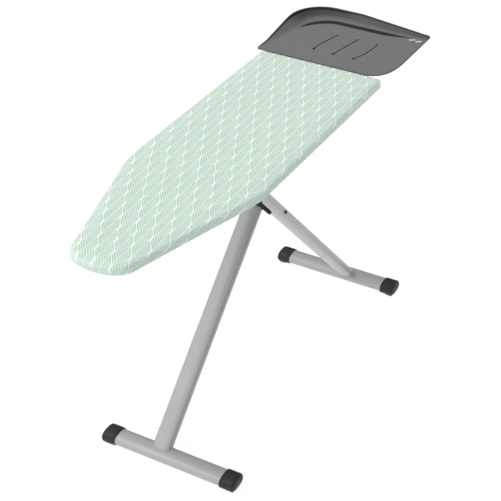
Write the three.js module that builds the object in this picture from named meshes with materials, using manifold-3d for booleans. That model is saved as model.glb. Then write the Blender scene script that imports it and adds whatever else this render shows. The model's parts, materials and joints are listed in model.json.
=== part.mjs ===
// Folding ironing board with a scissor pair of single-tube legs, a slotted slide channel with a
// lever-worked lock bar, a padded cloth-covered deck and a moulded iron rest behind its tail.
// Millimetres. X runs from the nose to the iron rest, Y across the board, Z up from the floor.
import * as THREE from 'three';
import { mergeVertices } from 'three/addons/utils/BufferGeometryUtils.js';
import Module from 'manifold-3d';

const wasm = await Module();
wasm.setup();

const GAP = 0.3;                 // clearance between pieces that touch
const SHEET = 2;                 // folded steel sheet thickness

// Board plan
const NOSE_X = -764.5;
const TAIL_X = 437.5;
const HALF_WIDTH = 202;
const SHOULDER_X = -305.5;       // where the straight sides start to taper
const SHOULDER_BLEND = 45;
const NOSE_START_X = -713.5;     // where the taper meets the round nose
const NOSE_START_Y = 90;
const NOSE_LEAD = 0.6;           // how far the taper's line carries on into the nose curve
const NOSE_ROUND = 0.62;
const TAIL_RADIUS = 17;
const TAIL_RADIUS_MIN = 1;        // for outlines set in by more than the corner's radius

// Deck stack, from the top down
const TOP_Z = 888.5;
const COVER_DEPTH = 28;
const COVER_SKIN = 1.5;
const COVER_ROUND = 6;
const HEM_WIDTH = 24;
const PAD_THICKNESS = 8.2;
const PAD_INSET = 7;
const DECK_THICKNESS = 1;
const DECK_INSET = 6;
const RIM_INSET = 6.5;
const RIM_THICKNESS = 2;
const CORD_SIZE = 3.5;
const COVER_BOTTOM_Z = TOP_Z - COVER_DEPTH;
const PAD_TOP_Z = TOP_Z - COVER_SKIN - GAP;
const PAD_BOTTOM_Z = PAD_TOP_Z - PAD_THICKNESS;
const DECK_TOP_Z = PAD_BOTTOM_Z - GAP;
const DECK_BOTTOM_Z = DECK_TOP_Z - DECK_THICKNESS;
const RIM_BOTTOM_Z = COVER_BOTTOM_Z + COVER_SKIN + GAP;

// Cross ribs
const RIB_XS = [-600, -385, -120, 110, 310, 385];
const RIB_NAMES = ['nose', 'front', 'middle', 'rear', 'bracket', 'tail'];
const RIB_WIDTH = 30;
const RIB_SHEET = 1.5;
const RIB_TOP_Z = DECK_BOTTOM_Z - GAP;
const RIB_BOTTOM_Z = 863;
const WEB_TOP_Z = RIB_BOTTOM_Z - GAP;
const WEB_BOTTOM_Z = WEB_TOP_Z - SHEET;

// Rivets through the ribs
const RIVET_RADIUS = 3;
const RIVET_HEAD_RADIUS = 6;
const RIVET_SET_RADIUS = 5;
const RIVET_HEAD_HEIGHT = 2;
const CHANNEL_RIVET_YS = [-58, -16];
const BRACKET_RIVET_YS = [20, 54];

// Legs: oval tubes that cross side by side on one bolt
const TUBE_WIDTH = 60;
const TUBE_DEPTH = 34;
const TUBE_WALL = 1.2;
const OVAL_POWER = 0.8;          // 1 is an ellipse; smaller is fuller at the shoulders
const OVAL_SIDES = 28;
const LEG_OFFSET_Y = 37;
const CROSS_X = 92.5;
const CROSS_Z = 571;
const HINGE_Z = 836;             // both top axles, under the deck
const FRONT_FOOT_X = -465.5;
const REAR_FOOT_X = 610.5;
const FOOT_Z = 22.4;
const FRONT_FOOT_LENGTH = 451;
const REAR_FOOT_LENGTH = 445;
const LEG_END = 14;              // tube past its top axle
const PLUG_FLANGE = 2;
const PLUG_DEPTH = 7;

// Foot end caps
const CAP_LENGTH = 48;
const CAP_WALL = 3.2;
const CAP_END = 6;
const CAP_ROUND = 8;
const PAD_FOOT_LENGTH = 22;
const PAD_FOOT_WIDTH = 16;
const PAD_FOOT_SPREAD = 14;

// Axles and bolts
const PIN_RADIUS = 5;
const PIN_HEAD_HEIGHT = 2.5;
const BOLT_RADIUS = 4;
const BOLT_HEAD_RADIUS = 6;
const BOLT_HEAD_HEIGHT = 3.5;
const BOLT_TAIL = 12;
const NUT_RADIUS = 7;
const NUT_HEIGHT = 7;
const WASHER_RADIUS = 7.5;
const WASHER_THICKNESS = 1.2;
const SPACER_RADIUS = 13;
const CLIP_RADIUS = 8;
const CLIP_THICKNESS = 1.4;
const BUSH_RADIUS = 6.6;
const BUSH_LENGTH = 5.6;
const RUNNING_GAP = 0.3;

// Slide channel under the deck
const CHANNEL_X = [-412, -95];
const SLOT_X = [-393, -120];
const SLOT_CLEARANCE = 1.8;
const SLOT_HALF = BUSH_RADIUS + SLOT_CLEARANCE;
const SLOT_MARGIN = 6;            // plate left under the slot
const CHANNEL_OUTER_Y = -72.5;   // middle of the outer side plate
const CHANNEL_INNER_Y = -2.5;
const CHANNEL_BOTTOM_Z = HINGE_Z - SLOT_HALF - SLOT_MARGIN;
const AXLE_END_Y = -97.5;
const AXLE_TIP_Y = 3.2;

// Front leg bracket
const BRACKET_X = [296, 400];
const EAR_HALF = 18;
const EAR_TIP_RADIUS = 11;
const EAR_Y = [5, 69];

// Lever, lock bar and rod
const ROD_Y = -112;
const ROD_Z = 848;
const ROD_RADIUS = 3;
const ROD_X = [-345, -140];
const HANGER_XS = [-338, -148];
const HANGER_EDGE = 8;
const HANGER_RELIEF_Y = -99.5;    // from here inwards the hangers clear the slide axle under them
const HANGER_RELIEF_Z = 847;
const LEVER_X = -249.5;
const LEVER_REACH = 104;
const LEVER_SLOPE = THREE.MathUtils.degToRad(27.5);
const LEVER_ROOT_HALF = 11;
const LEVER_TIP_HALF = 6;
const LEVER_THICKNESS = 9;
const LEVER_HUB_RADIUS = 8;
const LOCK_BAR_X = [-325, -160];
const LOCK_BAR_Y = [-101, -99];
const LOCK_BAR_Z = [823, 842];
const LOCK_TEETH = 7;
const LOCK_PITCH = 20;
const LOCK_NOTCH_RADIUS = 6;
const LOCK_NOTCH_DEPTH = 4;
const KNUCKLE_LENGTH = 12;
const KNUCKLE_RADIUS = 7.5;
const SPRING_TURNS = 4;
const SPRING_WIRE = 0.7;
const SPRING_RADIUS = 4.8;
const SPRING_LENGTH = 16;

// Iron rest
const REST_X = [428.5, 764.5];
const REST_HALF_WIDTH = 218;
const REST_FLOOR_BOTTOM_Z = TOP_Z + 0.5;
const REST_THICKNESS = 3;
const REST_FLOOR_TOP_Z = REST_FLOOR_BOTTOM_Z + REST_THICKNESS;
const REST_WALL_HEIGHT = 26;
const REST_WALL_RUN = 40;        // how far the wall leans out over its full height
const REST_CORNER = 11;
const REST_BACK_CORNER = 110;
const REST_FRONT_CORNER = [130, 78];
const REST_FRONT_PULL = [0.35, 0.3];
const REST_TILT_X = 0.154;       // rise of the wall's top edge along X and along Y
const REST_TILT_Y = 0.1;
const REST_PEAK = [707, 180];    // where the slant of the top edge stands REST_PEAK_RISE above the floor
const REST_PEAK_RISE = 30;
const ARM_Y = 130;
const ARM_RADIUS = 8;
const ARM_WALL = 1.2;
const ARM_LOW_Z = 851;
const ARM_HIGH_Z = REST_FLOOR_BOTTOM_Z - GAP - ARM_RADIUS;
const ARM_X = [290, 462, 510, 706];
const TRAY_SADDLE_XS = [545, 675];
const TRAY_SADDLE_WEB = 3;
const SADDLE_LENGTH = 24;
const SADDLE_HALF = 14;

const FRONT_ANGLE = Math.atan2(CROSS_Z - FOOT_Z, CROSS_X - FRONT_FOOT_X);
const REAR_ANGLE = Math.atan2(CROSS_Z - FOOT_Z, REAR_FOOT_X - CROSS_X);
const FRONT_UPPER = (HINGE_Z - CROSS_Z) / Math.sin(FRONT_ANGLE);
const REAR_UPPER = (HINGE_Z - CROSS_Z) / Math.sin(REAR_ANGLE);
const FRONT_LOWER = Math.hypot(CROSS_Z - FOOT_Z, CROSS_X - FRONT_FOOT_X);
const REAR_LOWER = Math.hypot(CROSS_Z - FOOT_Z, REAR_FOOT_X - CROSS_X);
const FRONT_HINGE_X = CROSS_X + FRONT_UPPER * Math.cos(FRONT_ANGLE);
const QUARTER = Math.PI / 2;

function finish(color, roughness, metalness) {
  return new THREE.MeshStandardMaterial({ color, roughness, metalness });
}

const silver = finish(0xb4b5b7, 0.45, 0.6);
const zinc = finish(0xa9abad, 0.4, 0.8);
const deckSteel = finish(0x9da0a2, 0.5, 0.7);
const black = finish(0x262626, 0.55, 0);
const trayGrey = finish(0x707070, 0.5, 0);
const feltWhite = finish(0xe4e2dc, 0.95, 0);
const coverMint = finish(0xcfe2d4, 0.9, 0);

const board = new THREE.Group();
const lever = new THREE.Group();
const frontLeg = new THREE.Group();
const rearLeg = new THREE.Group();

function add(group, name, geometry, material) {
  const mesh = new THREE.Mesh(geometry, material.clone());
  mesh.name = name;
  group.add(mesh);
  return mesh;
}

// ---- solids and booleans ----

function solid(geometry) {
  const bare = geometry.clone();
  bare.deleteAttribute('normal');
  bare.deleteAttribute('uv');
  const merged = mergeVertices(bare, 1e-4);
  return new wasm.Manifold(new wasm.Mesh({
    numProp: 3,
    vertProperties: new Float32Array(merged.attributes.position.array),
    triVerts: new Uint32Array(merged.index.array),
  }));
}

function geometryOf(body) {
  const mesh = body.getMesh();
  const geometry = new THREE.BufferGeometry();
  geometry.setAttribute('position', new THREE.BufferAttribute(new Float32Array(mesh.vertProperties), 3));
  geometry.setIndex(new THREE.BufferAttribute(new Uint32Array(mesh.triVerts), 1));
  geometry.computeVertexNormals();
  return geometry;
}

function cut(geometry, ...cutters) {
  return geometryOf(cutters.reduce((body, cutter) => body.subtract(solid(cutter)), solid(geometry)));
}

function join(...geometries) {
  return geometryOf(geometries.map(solid).reduce((body, other) => body.add(other)));
}

// ---- plain shapes ----

function block(x, y, z) {
  const geometry = new THREE.BoxGeometry(x[1] - x[0], y[1] - y[0], z[1] - z[0]);
  return geometry.translate((x[0] + x[1]) / 2, (y[0] + y[1]) / 2, (z[0] + z[1]) / 2);
}

function prism(shape, depth, segments = 6) {
  return new THREE.ExtrudeGeometry(shape, { depth, bevelEnabled: false, curveSegments: segments });
}

function rodAlongY(radius, y, segments = 16) {
  return new THREE.CylinderGeometry(radius, radius, y[1] - y[0], segments).translate(0, (y[0] + y[1]) / 2, 0);
}

function rodAlongX(radius, x, segments = 12) {
  const rod = new THREE.CylinderGeometry(radius, radius, x[1] - x[0], segments);
  return rod.rotateZ(QUARTER).translate((x[0] + x[1]) / 2, 0, 0);
}

function rodAlongZ(radius, z, segments = 8) {
  const rod = new THREE.CylinderGeometry(radius, radius, z[1] - z[0], segments);
  return rod.rotateX(QUARTER).translate(0, 0, (z[0] + z[1]) / 2);
}

function ringAlongY(outer, inner, y, segments = 16) {
  return cut(rodAlongY(outer, y, segments), rodAlongY(inner, [y[0] - 1, y[1] + 1], segments));
}

function slotShape(length, height) {
  const radius = height / 2;
  const half = length / 2 - radius;
  const shape = new THREE.Shape();
  shape.absarc(half, 0, radius, -QUARTER, QUARTER, false);
  shape.absarc(-half, 0, radius, QUARTER, 3 * QUARTER, false);
  shape.closePath();
  return shape;
}

// The tubes' oval, with its long axis on X, or on Y when turned.
function oval(width, height, turned = false) {
  const reach = (part) => Math.sign(part) * Math.abs(part) ** OVAL_POWER;
  const points = Array.from({ length: OVAL_SIDES }, (_, step) => {
    const angle = 2 * Math.PI * step / OVAL_SIDES;
    const point = new THREE.Vector2(reach(Math.cos(angle)) * width / 2, reach(Math.sin(angle)) * height / 2);
    return turned ? point.set(-point.y, point.x) : point;
  });
  return new THREE.Shape(points);
}

function ovalTube(length, turned) {
  const shape = oval(TUBE_WIDTH, TUBE_DEPTH, turned);
  shape.holes.push(oval(TUBE_WIDTH - 2 * TUBE_WALL, TUBE_DEPTH - 2 * TUBE_WALL, turned));
  return prism(shape, length);
}

// ---- board outline ----

// Plan outline of the board, moved in by an inset, as an anticlockwise shape.
function boardOutline(inset) {
  const half = HALF_WIDTH - inset;
  const tail = TAIL_X - inset;
  const corner = Math.max(TAIL_RADIUS - inset, TAIL_RADIUS_MIN);
  const taper = new THREE.Vector2(NOSE_START_X - SHOULDER_X, NOSE_START_Y - HALF_WIDTH).normalize();
  const inward = new THREE.Vector2(-taper.y, taper.x).multiplyScalar(inset);
  const shoulder = SHOULDER_X + inset * Math.tan(Math.atan2(-taper.y, -taper.x) / 2);
  const start = new THREE.Vector2(NOSE_START_X, NOSE_START_Y).add(inward);
  const lead = start.clone().addScaledVector(taper, NOSE_LEAD * (NOSE_START_X - NOSE_X));
  const nose = NOSE_X + inset;
  const blend = new THREE.Vector2(shoulder, half).addScaledVector(taper, SHOULDER_BLEND);
  const shape = new THREE.Shape();
  shape.moveTo(shoulder + SHOULDER_BLEND, -half);
  shape.lineTo(tail - corner, -half);
  shape.absarc(tail - corner, -half + corner, corner, -QUARTER, 0, false);
  shape.absarc(tail - corner, half - corner, corner, 0, QUARTER, false);
  shape.lineTo(shoulder + SHOULDER_BLEND, half);
  shape.quadraticCurveTo(shoulder, half, blend.x, blend.y);
  shape.lineTo(start.x, start.y);
  shape.bezierCurveTo(lead.x, lead.y, nose, NOSE_ROUND * start.y, nose, 0);
  shape.bezierCurveTo(nose, -NOSE_ROUND * start.y, lead.x, -lead.y, start.x, -start.y);
  shape.lineTo(blend.x, -blend.y);
  shape.quadraticCurveTo(shoulder, -half, shoulder + SHOULDER_BLEND, -half);
  return shape;
}

function halfWidthAt(x) {
  const slope = (HALF_WIDTH - NOSE_START_Y) / (SHOULDER_X - NOSE_START_X);
  return Math.min(HALF_WIDTH, HALF_WIDTH - (SHOULDER_X - x) * slope);
}

function slab(inset, z) {
  return prism(boardOutline(inset), z[1] - z[0]).translate(0, 0, z[0]);
}

function roundedSlab(inset, round, z) {
  const options = { depth: z[1] - z[0] - 2 * round, bevelThickness: round, bevelSize: round };
  const geometry = new THREE.ExtrudeGeometry(boardOutline(inset + round), {
    ...options, bevelSegments: 2, curveSegments: 6,
  });
  return geometry.translate(0, 0, z[0] + round);
}

// ---- deck, pad and cover ----

function buildDeck() {
  add(board, 'deck_mesh', slab(DECK_INSET, [DECK_BOTTOM_Z, DECK_TOP_Z]), deckSteel);
  const rimShape = boardOutline(RIM_INSET);
  rimShape.holes.push(boardOutline(RIM_INSET + RIM_THICKNESS));
  const rim = prism(rimShape, DECK_BOTTOM_Z - GAP - RIM_BOTTOM_Z).translate(0, 0, RIM_BOTTOM_Z);
  add(board, 'deck_rim', rim, silver);
  add(board, 'pad', slab(PAD_INSET, [PAD_BOTTOM_Z, PAD_TOP_Z]), feltWhite);
  const outside = roundedSlab(0, COVER_ROUND, [COVER_BOTTOM_Z, TOP_Z]);
  const inside = [COVER_BOTTOM_Z + COVER_SKIN, TOP_Z - COVER_SKIN];
  const cavity = roundedSlab(COVER_SKIN, COVER_ROUND - COVER_SKIN, inside);
  const mouth = slab(HEM_WIDTH, [COVER_BOTTOM_Z - 1, COVER_BOTTOM_Z + COVER_ROUND]);
  add(board, 'cover', cut(outside, cavity, mouth), coverMint);
  const cordShape = boardOutline(HEM_WIDTH + 1);
  cordShape.holes.push(boardOutline(HEM_WIDTH + 1 + CORD_SIZE));
  const cord = prism(cordShape, CORD_SIZE, 4).translate(0, 0, RIB_BOTTOM_Z - GAP - CORD_SIZE);
  add(board, 'cover_drawcord', cord, feltWhite);
}

const rivetPlaces = [
  ...[RIB_XS[1], RIB_XS[2]].flatMap((x) => CHANNEL_RIVET_YS.map((y) => [x, y])),
  ...[RIB_XS[4], RIB_XS[5]].flatMap((x) => BRACKET_RIVET_YS.map((y) => [x, y])),
];

function rivetHoles(xRange) {
  const inRange = rivetPlaces.filter(([x]) => x > xRange[0] && x < xRange[1]);
  const hole = [WEB_BOTTOM_Z - 5, RIB_BOTTOM_Z + 5];
  return inRange.map(([x, y]) => rodAlongZ(RIVET_RADIUS + GAP, hole).translate(x, y, 0));
}

function buildRibs() {
  RIB_XS.forEach((x, index) => {
    const half = halfWidthAt(x - RIB_WIDTH / 2) - RIM_INSET - RIM_THICKNESS - 1;
    const xs = [x - RIB_WIDTH / 2, x + RIB_WIDTH / 2];
    const outside = block(xs, [-half, half], [RIB_BOTTOM_Z, RIB_TOP_Z]);
    const inner = [xs[0] + RIB_SHEET, xs[1] - RIB_SHEET];
    const hollow = block(inner, [-half - 1, half + 1], [RIB_BOTTOM_Z + RIB_SHEET, RIB_TOP_Z + 1]);
    add(board, `rib_${RIB_NAMES[index]}`, cut(outside, hollow, ...rivetHoles(xs)), silver);
  });
  rivetPlaces.forEach(([x, y], index) => {
    const shank = rodAlongZ(RIVET_RADIUS, [WEB_BOTTOM_Z - GAP - 1, RIB_BOTTOM_Z + RIB_SHEET + GAP + 1]);
    const lowZ = WEB_BOTTOM_Z - GAP;
    const highZ = RIB_BOTTOM_Z + RIB_SHEET + GAP;
    const low = rodAlongZ(RIVET_HEAD_RADIUS, [lowZ - RIVET_HEAD_HEIGHT, lowZ]);
    const high = rodAlongZ(RIVET_SET_RADIUS, [highZ, highZ + RIVET_HEAD_HEIGHT]);
    add(board, `rivet_${index + 1}`, join(shank, low, high).translate(x, y, 0), zinc);
  });
}

// ---- slide channel and leg bracket ----

function buildChannel() {
  const yOut = [CHANNEL_OUTER_Y - SHEET / 2, CHANNEL_INNER_Y + SHEET / 2];
  const outside = block(CHANNEL_X, yOut, [CHANNEL_BOTTOM_Z, WEB_TOP_Z]);
  const inside = block(
    [CHANNEL_X[0] - 1, CHANNEL_X[1] + 1],
    [yOut[0] + SHEET, yOut[1] - SHEET],
    [CHANNEL_BOTTOM_Z - 1, WEB_BOTTOM_Z],
  );
  const length = SLOT_X[1] - SLOT_X[0];
  const slot = prism(slotShape(length, 2 * SLOT_HALF), yOut[1] - yOut[0] + 4, 6).rotateX(QUARTER);
  slot.translate((SLOT_X[0] + SLOT_X[1]) / 2, yOut[1] + 2, HINGE_Z);
  add(board, 'slide_channel', cut(outside, inside, slot, ...rivetHoles(CHANNEL_X)), zinc);
}

function ear(y) {
  const shape = new THREE.Shape();
  const drop = WEB_TOP_Z - HINGE_Z;
  shape.moveTo(-EAR_HALF, drop);
  shape.lineTo(-EAR_TIP_RADIUS, 0);
  shape.absarc(0, 0, EAR_TIP_RADIUS, Math.PI, 2 * Math.PI, false);
  shape.lineTo(EAR_HALF, drop);
  shape.closePath();
  const hole = new THREE.Path();
  hole.absarc(0, 0, PIN_RADIUS + RUNNING_GAP, 0, 2 * Math.PI, false);
  shape.holes.push(hole);
  return prism(shape, SHEET).rotateX(QUARTER).translate(FRONT_HINGE_X, y + SHEET / 2, HINGE_Z);
}

function buildBracket() {
  const web = block(BRACKET_X, [EAR_Y[0] - SHEET / 2, EAR_Y[1] + SHEET / 2], [WEB_BOTTOM_Z, WEB_TOP_Z]);
  const holes = rivetHoles(BRACKET_X);
  add(board, 'leg_bracket', cut(join(web, ear(EAR_Y[0]), ear(EAR_Y[1])), ...holes), zinc);
  const shank = rodAlongY(PIN_RADIUS, [EAR_Y[0] - 4, EAR_Y[1] + 2]);
  const headY = EAR_Y[1] + SHEET / 2 + GAP;
  const head = rodAlongY(CLIP_RADIUS, [headY, headY + PIN_HEAD_HEIGHT]);
  const pin = add(board, 'leg_pivot_pin', join(shank, head), zinc);
  pin.position.set(FRONT_HINGE_X, 0, HINGE_Z);
  const clipY = [EAR_Y[0] - SHEET / 2 - GAP - CLIP_THICKNESS, EAR_Y[0] - SHEET / 2 - GAP];
  const clip = add(board, 'leg_pivot_clip', ringAlongY(CLIP_RADIUS, PIN_RADIUS + GAP, clipY), black);
  clip.position.set(FRONT_HINGE_X, 0, HINGE_Z);
}

// ---- lever, lock bar, rod and spring ----

class Helix extends THREE.Curve {
  constructor(radius, turns, length) {
    super();
    Object.assign(this, { radius, turns, length });
  }

  getPoint(t, target = new THREE.Vector3()) {
    const angle = 2 * Math.PI * this.turns * t;
    return target.set(this.length * t, this.radius * Math.cos(angle), this.radius * Math.sin(angle));
  }
}

function atRod(mesh, x = 0) {
  mesh.position.set(x, ROD_Y, ROD_Z);
  return mesh;
}

function buildRod() {
  atRod(add(board, 'lever_rod', rodAlongX(ROD_RADIUS, ROD_X), zinc));
  HANGER_XS.forEach((x, index) => {
    const reach = CHANNEL_OUTER_Y - SHEET / 2 - GAP - ROD_Y;
    const plate = block([-SHEET / 2, SHEET / 2], [-HANGER_EDGE, reach], [-HANGER_EDGE, HANGER_EDGE]);
    const relief = block(
      [-SHEET, SHEET],
      [HANGER_RELIEF_Y - ROD_Y, reach + 1],
      [-HANGER_EDGE - 1, HANGER_RELIEF_Z - ROD_Z],
    );
    const hole = rodAlongX(ROD_RADIUS + GAP, [-SHEET, SHEET]);
    atRod(add(board, `lever_hanger_${index + 1}`, cut(plate, relief, hole), zinc), x);
  });
}

function buildLockBar() {
  const shape = new THREE.Shape();
  shape.moveTo(LOCK_BAR_X[0], LOCK_BAR_Z[1]);
  shape.lineTo(LOCK_BAR_X[0], LOCK_BAR_Z[0]);
  const middle = (LOCK_BAR_X[0] + LOCK_BAR_X[1]) / 2;
  for (let tooth = 0; tooth < LOCK_TEETH; tooth += 1) {
    const x = middle + (tooth - (LOCK_TEETH - 1) / 2) * LOCK_PITCH;
    shape.lineTo(x - LOCK_NOTCH_RADIUS, LOCK_BAR_Z[0]);
    shape.lineTo(x - LOCK_NOTCH_RADIUS, LOCK_BAR_Z[0] + LOCK_NOTCH_DEPTH);
    shape.absarc(x, LOCK_BAR_Z[0] + LOCK_NOTCH_DEPTH, LOCK_NOTCH_RADIUS, Math.PI, 0, true);
    shape.lineTo(x + LOCK_NOTCH_RADIUS, LOCK_BAR_Z[0]);
  }
  shape.lineTo(LOCK_BAR_X[1], LOCK_BAR_Z[0]);
  shape.lineTo(LOCK_BAR_X[1], LOCK_BAR_Z[1]);
  shape.closePath();
  const plate = prism(shape, SHEET, 4).rotateX(QUARTER).translate(0, LOCK_BAR_Y[1], 0);
  const web = block(LOCK_BAR_X, [ROD_Y, LOCK_BAR_Y[1]], [LOCK_BAR_Z[1] - SHEET, LOCK_BAR_Z[1]]);
  const ends = [LOCK_BAR_X[0] + KNUCKLE_LENGTH / 2, LOCK_BAR_X[1] - KNUCKLE_LENGTH / 2];
  const span = [-KNUCKLE_LENGTH / 2, KNUCKLE_LENGTH / 2];
  const knuckles = ends.map((x) => rodAlongX(KNUCKLE_RADIUS, span).translate(x, ROD_Y, ROD_Z));
  const bore = rodAlongX(ROD_RADIUS + RUNNING_GAP, ROD_X).translate(0, ROD_Y, ROD_Z);
  const gate = block(
    [LEVER_X - LEVER_ROOT_HALF - 2, LEVER_X + LEVER_ROOT_HALF + 2],
    [ROD_Y - 20, LOCK_BAR_Y[0] - 1],
    [LOCK_BAR_Z[1] - 10, LOCK_BAR_Z[1] + 10],
  );
  add(lever, 'lock_bar', cut(join(plate, web, ...knuckles), bore, gate), zinc);
}

function buildLever() {
  const shape = new THREE.Shape();
  shape.moveTo(0, -LEVER_ROOT_HALF);
  shape.quadraticCurveTo(0.5 * LEVER_REACH, -LEVER_ROOT_HALF, LEVER_REACH - LEVER_TIP_HALF, -LEVER_TIP_HALF);
  shape.absarc(LEVER_REACH - LEVER_TIP_HALF, 0, LEVER_TIP_HALF, -QUARTER, QUARTER, false);
  shape.quadraticCurveTo(0.5 * LEVER_REACH, LEVER_ROOT_HALF, 0, LEVER_ROOT_HALF);
  shape.closePath();
  const blade = prism(shape, LEVER_THICKNESS, 6).translate(0, 0, -LEVER_THICKNESS / 2);
  blade.rotateZ(-QUARTER).rotateX(LEVER_SLOPE);
  const hub = rodAlongX(LEVER_HUB_RADIUS, [-LEVER_ROOT_HALF, LEVER_ROOT_HALF], 16);
  const bore = rodAlongX(ROD_RADIUS + RUNNING_GAP, [-2 * LEVER_ROOT_HALF, 2 * LEVER_ROOT_HALF]);
  atRod(add(lever, 'height_lever', cut(join(blade, hub), bore), black), LEVER_X);
  const wire = new THREE.Shape().absarc(0, 0, SPRING_WIRE, 0, 2 * Math.PI, false);
  const coil = new THREE.ExtrudeGeometry(wire, {
    steps: 10 * SPRING_TURNS,
    curveSegments: 3,
    extrudePath: new Helix(SPRING_RADIUS, SPRING_TURNS, SPRING_LENGTH),
  });
  atRod(add(lever, 'lever_spring', coil, zinc), LEVER_X + LEVER_ROOT_HALF + 3);
}

// ---- legs ----

function footCap(length, side) {
  const outer = oval(
    TUBE_WIDTH + 2 * (CAP_WALL - CAP_ROUND),
    TUBE_DEPTH + 2 * (CAP_WALL - CAP_ROUND),
  );
  const shell = new THREE.ExtrudeGeometry(outer, {
    depth: CAP_LENGTH - 2 * CAP_ROUND,
    bevelThickness: CAP_ROUND,
    bevelSize: CAP_ROUND,
    bevelSegments: 3,
  }).translate(0, 0, CAP_ROUND);
  const pocket = prism(oval(TUBE_WIDTH + 2 * GAP, TUBE_DEPTH + 2 * GAP), CAP_LENGTH);
  pocket.translate(0, 0, -CAP_END);
  const pads = [-1, 1].map((way) => block(
    [way * PAD_FOOT_SPREAD - PAD_FOOT_WIDTH / 2, way * PAD_FOOT_SPREAD + PAD_FOOT_WIDTH / 2],
    [TUBE_DEPTH / 2 + 1, FOOT_Z],
    [CAP_LENGTH - CAP_ROUND - PAD_FOOT_LENGTH, CAP_LENGTH - CAP_ROUND],
  ));
  const cap = cut(join(shell, ...pads), pocket);
  cap.translate(0, 0, length / 2 - CAP_LENGTH).rotateX(-QUARTER);
  return side > 0 ? cap : cap.rotateZ(Math.PI);
}

function buildFoot(legGroup, prefix, tilt, lower, offsetY, length) {
  const foot = new THREE.Group();
  foot.position.set(0, -offsetY, -lower);
  foot.rotation.y = -tilt;
  legGroup.add(foot);
  const tubeLength = length - 2 * (CAP_END + GAP);
  const tube = ovalTube(tubeLength, false).translate(0, 0, -tubeLength / 2).rotateX(-QUARTER);
  add(foot, `${prefix}_foot_tube`, tube, silver);
  add(foot, `${prefix}_foot_cap_left`, footCap(length, 1), black);
  add(foot, `${prefix}_foot_cap_right`, footCap(length, -1), black);
}

// A leg in its own frame: the crossing bolt at the origin, the leg along Z, its top end up.
function buildLeg(legGroup, prefix, tilt, upper, lower, offsetY, length) {
  legGroup.position.set(CROSS_X, offsetY, CROSS_Z);
  legGroup.rotation.y = tilt;
  const tube = ovalTube(upper + lower + LEG_END, true).translate(0, 0, -lower);
  const cope = prism(oval(TUBE_WIDTH + 2 * GAP, TUBE_DEPTH + 2 * GAP), 2 * TUBE_WIDTH);
  cope.translate(0, 0, -TUBE_WIDTH).rotateX(QUARTER).rotateY(-tilt).translate(0, 0, -lower);
  const across = [-TUBE_WIDTH, TUBE_WIDTH];
  const boltHole = rodAlongY(BOLT_RADIUS + GAP, across);
  const axleHole = rodAlongY(PIN_RADIUS + GAP, across).translate(0, 0, upper);
  add(legGroup, `${prefix}_leg_tube`, cut(tube, cope, boltHole, axleHole), silver);
  const inside = oval(TUBE_WIDTH - 2 * (TUBE_WALL + GAP), TUBE_DEPTH - 2 * (TUBE_WALL + GAP), true);
  const stem = prism(inside, PLUG_DEPTH).translate(0, 0, upper + LEG_END - PLUG_DEPTH + GAP);
  const flange = prism(oval(TUBE_WIDTH, TUBE_DEPTH, true), PLUG_FLANGE);
  flange.translate(0, 0, upper + LEG_END + GAP);
  add(legGroup, `${prefix}_leg_plug`, join(stem, flange), black);
  buildFoot(legGroup, prefix, tilt, lower, offsetY, length);
}

function buildCrossing() {
  const side = LEG_OFFSET_Y + TUBE_WIDTH / 2;
  const near = -side - GAP - WASHER_THICKNESS - GAP;
  const shank = rodAlongY(BOLT_RADIUS, [near - 1, side + BOLT_TAIL]);
  const head = rodAlongY(BOLT_HEAD_RADIUS, [near - BOLT_HEAD_HEIGHT, near]);
  const inLeg = (geometry) => geometry.translate(0, -LEG_OFFSET_Y, 0);
  add(frontLeg, 'crossing_bolt', inLeg(join(shank, head)), black);
  const washer = (y) => ringAlongY(WASHER_RADIUS, BOLT_RADIUS + GAP, [y, y + WASHER_THICKNESS]);
  add(frontLeg, 'crossing_washer_1', inLeg(washer(near + GAP)), zinc);
  add(frontLeg, 'crossing_washer_2', inLeg(washer(side + GAP)), zinc);
  const nutStart = side + 2 * GAP + WASHER_THICKNESS;
  const nutY = [nutStart, nutStart + NUT_HEIGHT];
  const nut = cut(rodAlongY(NUT_RADIUS, nutY, 6), rodAlongY(BOLT_RADIUS + GAP, [nutY[0] - 1, nutY[1] + 1]));
  add(frontLeg, 'crossing_nut', inLeg(nut), zinc);
  const gap = LEG_OFFSET_Y - TUBE_WIDTH / 2 - GAP;
  const spacer = ringAlongY(SPACER_RADIUS, BOLT_RADIUS + GAP, [-gap, gap], 20);
  add(frontLeg, 'crossing_spacer', inLeg(spacer), black);
}

function buildAxle() {
  const inLeg = (geometry) => geometry.translate(0, LEG_OFFSET_Y, REAR_UPPER);
  add(rearLeg, 'slide_axle', inLeg(rodAlongY(PIN_RADIUS, [AXLE_END_Y, AXLE_TIP_Y])), zinc);
  const bush = (y) => ringAlongY(BUSH_RADIUS, PIN_RADIUS + GAP, [y - BUSH_LENGTH / 2, y + BUSH_LENGTH / 2]);
  add(rearLeg, 'slide_bush_outer', inLeg(bush(CHANNEL_OUTER_Y)), black);
  add(rearLeg, 'slide_bush_inner', inLeg(bush(CHANNEL_INNER_Y)), black);
  const reach = BUSH_LENGTH / 2 + GAP;
  const clip = (y) => ringAlongY(CLIP_RADIUS, PIN_RADIUS + GAP, [y, y + CLIP_THICKNESS]);
  add(rearLeg, 'axle_clip_outer', inLeg(clip(CHANNEL_OUTER_Y - reach - CLIP_THICKNESS)), zinc);
  add(rearLeg, 'axle_clip_inner', inLeg(clip(CHANNEL_INNER_Y + reach)), zinc);
}

// ---- iron rest ----

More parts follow.
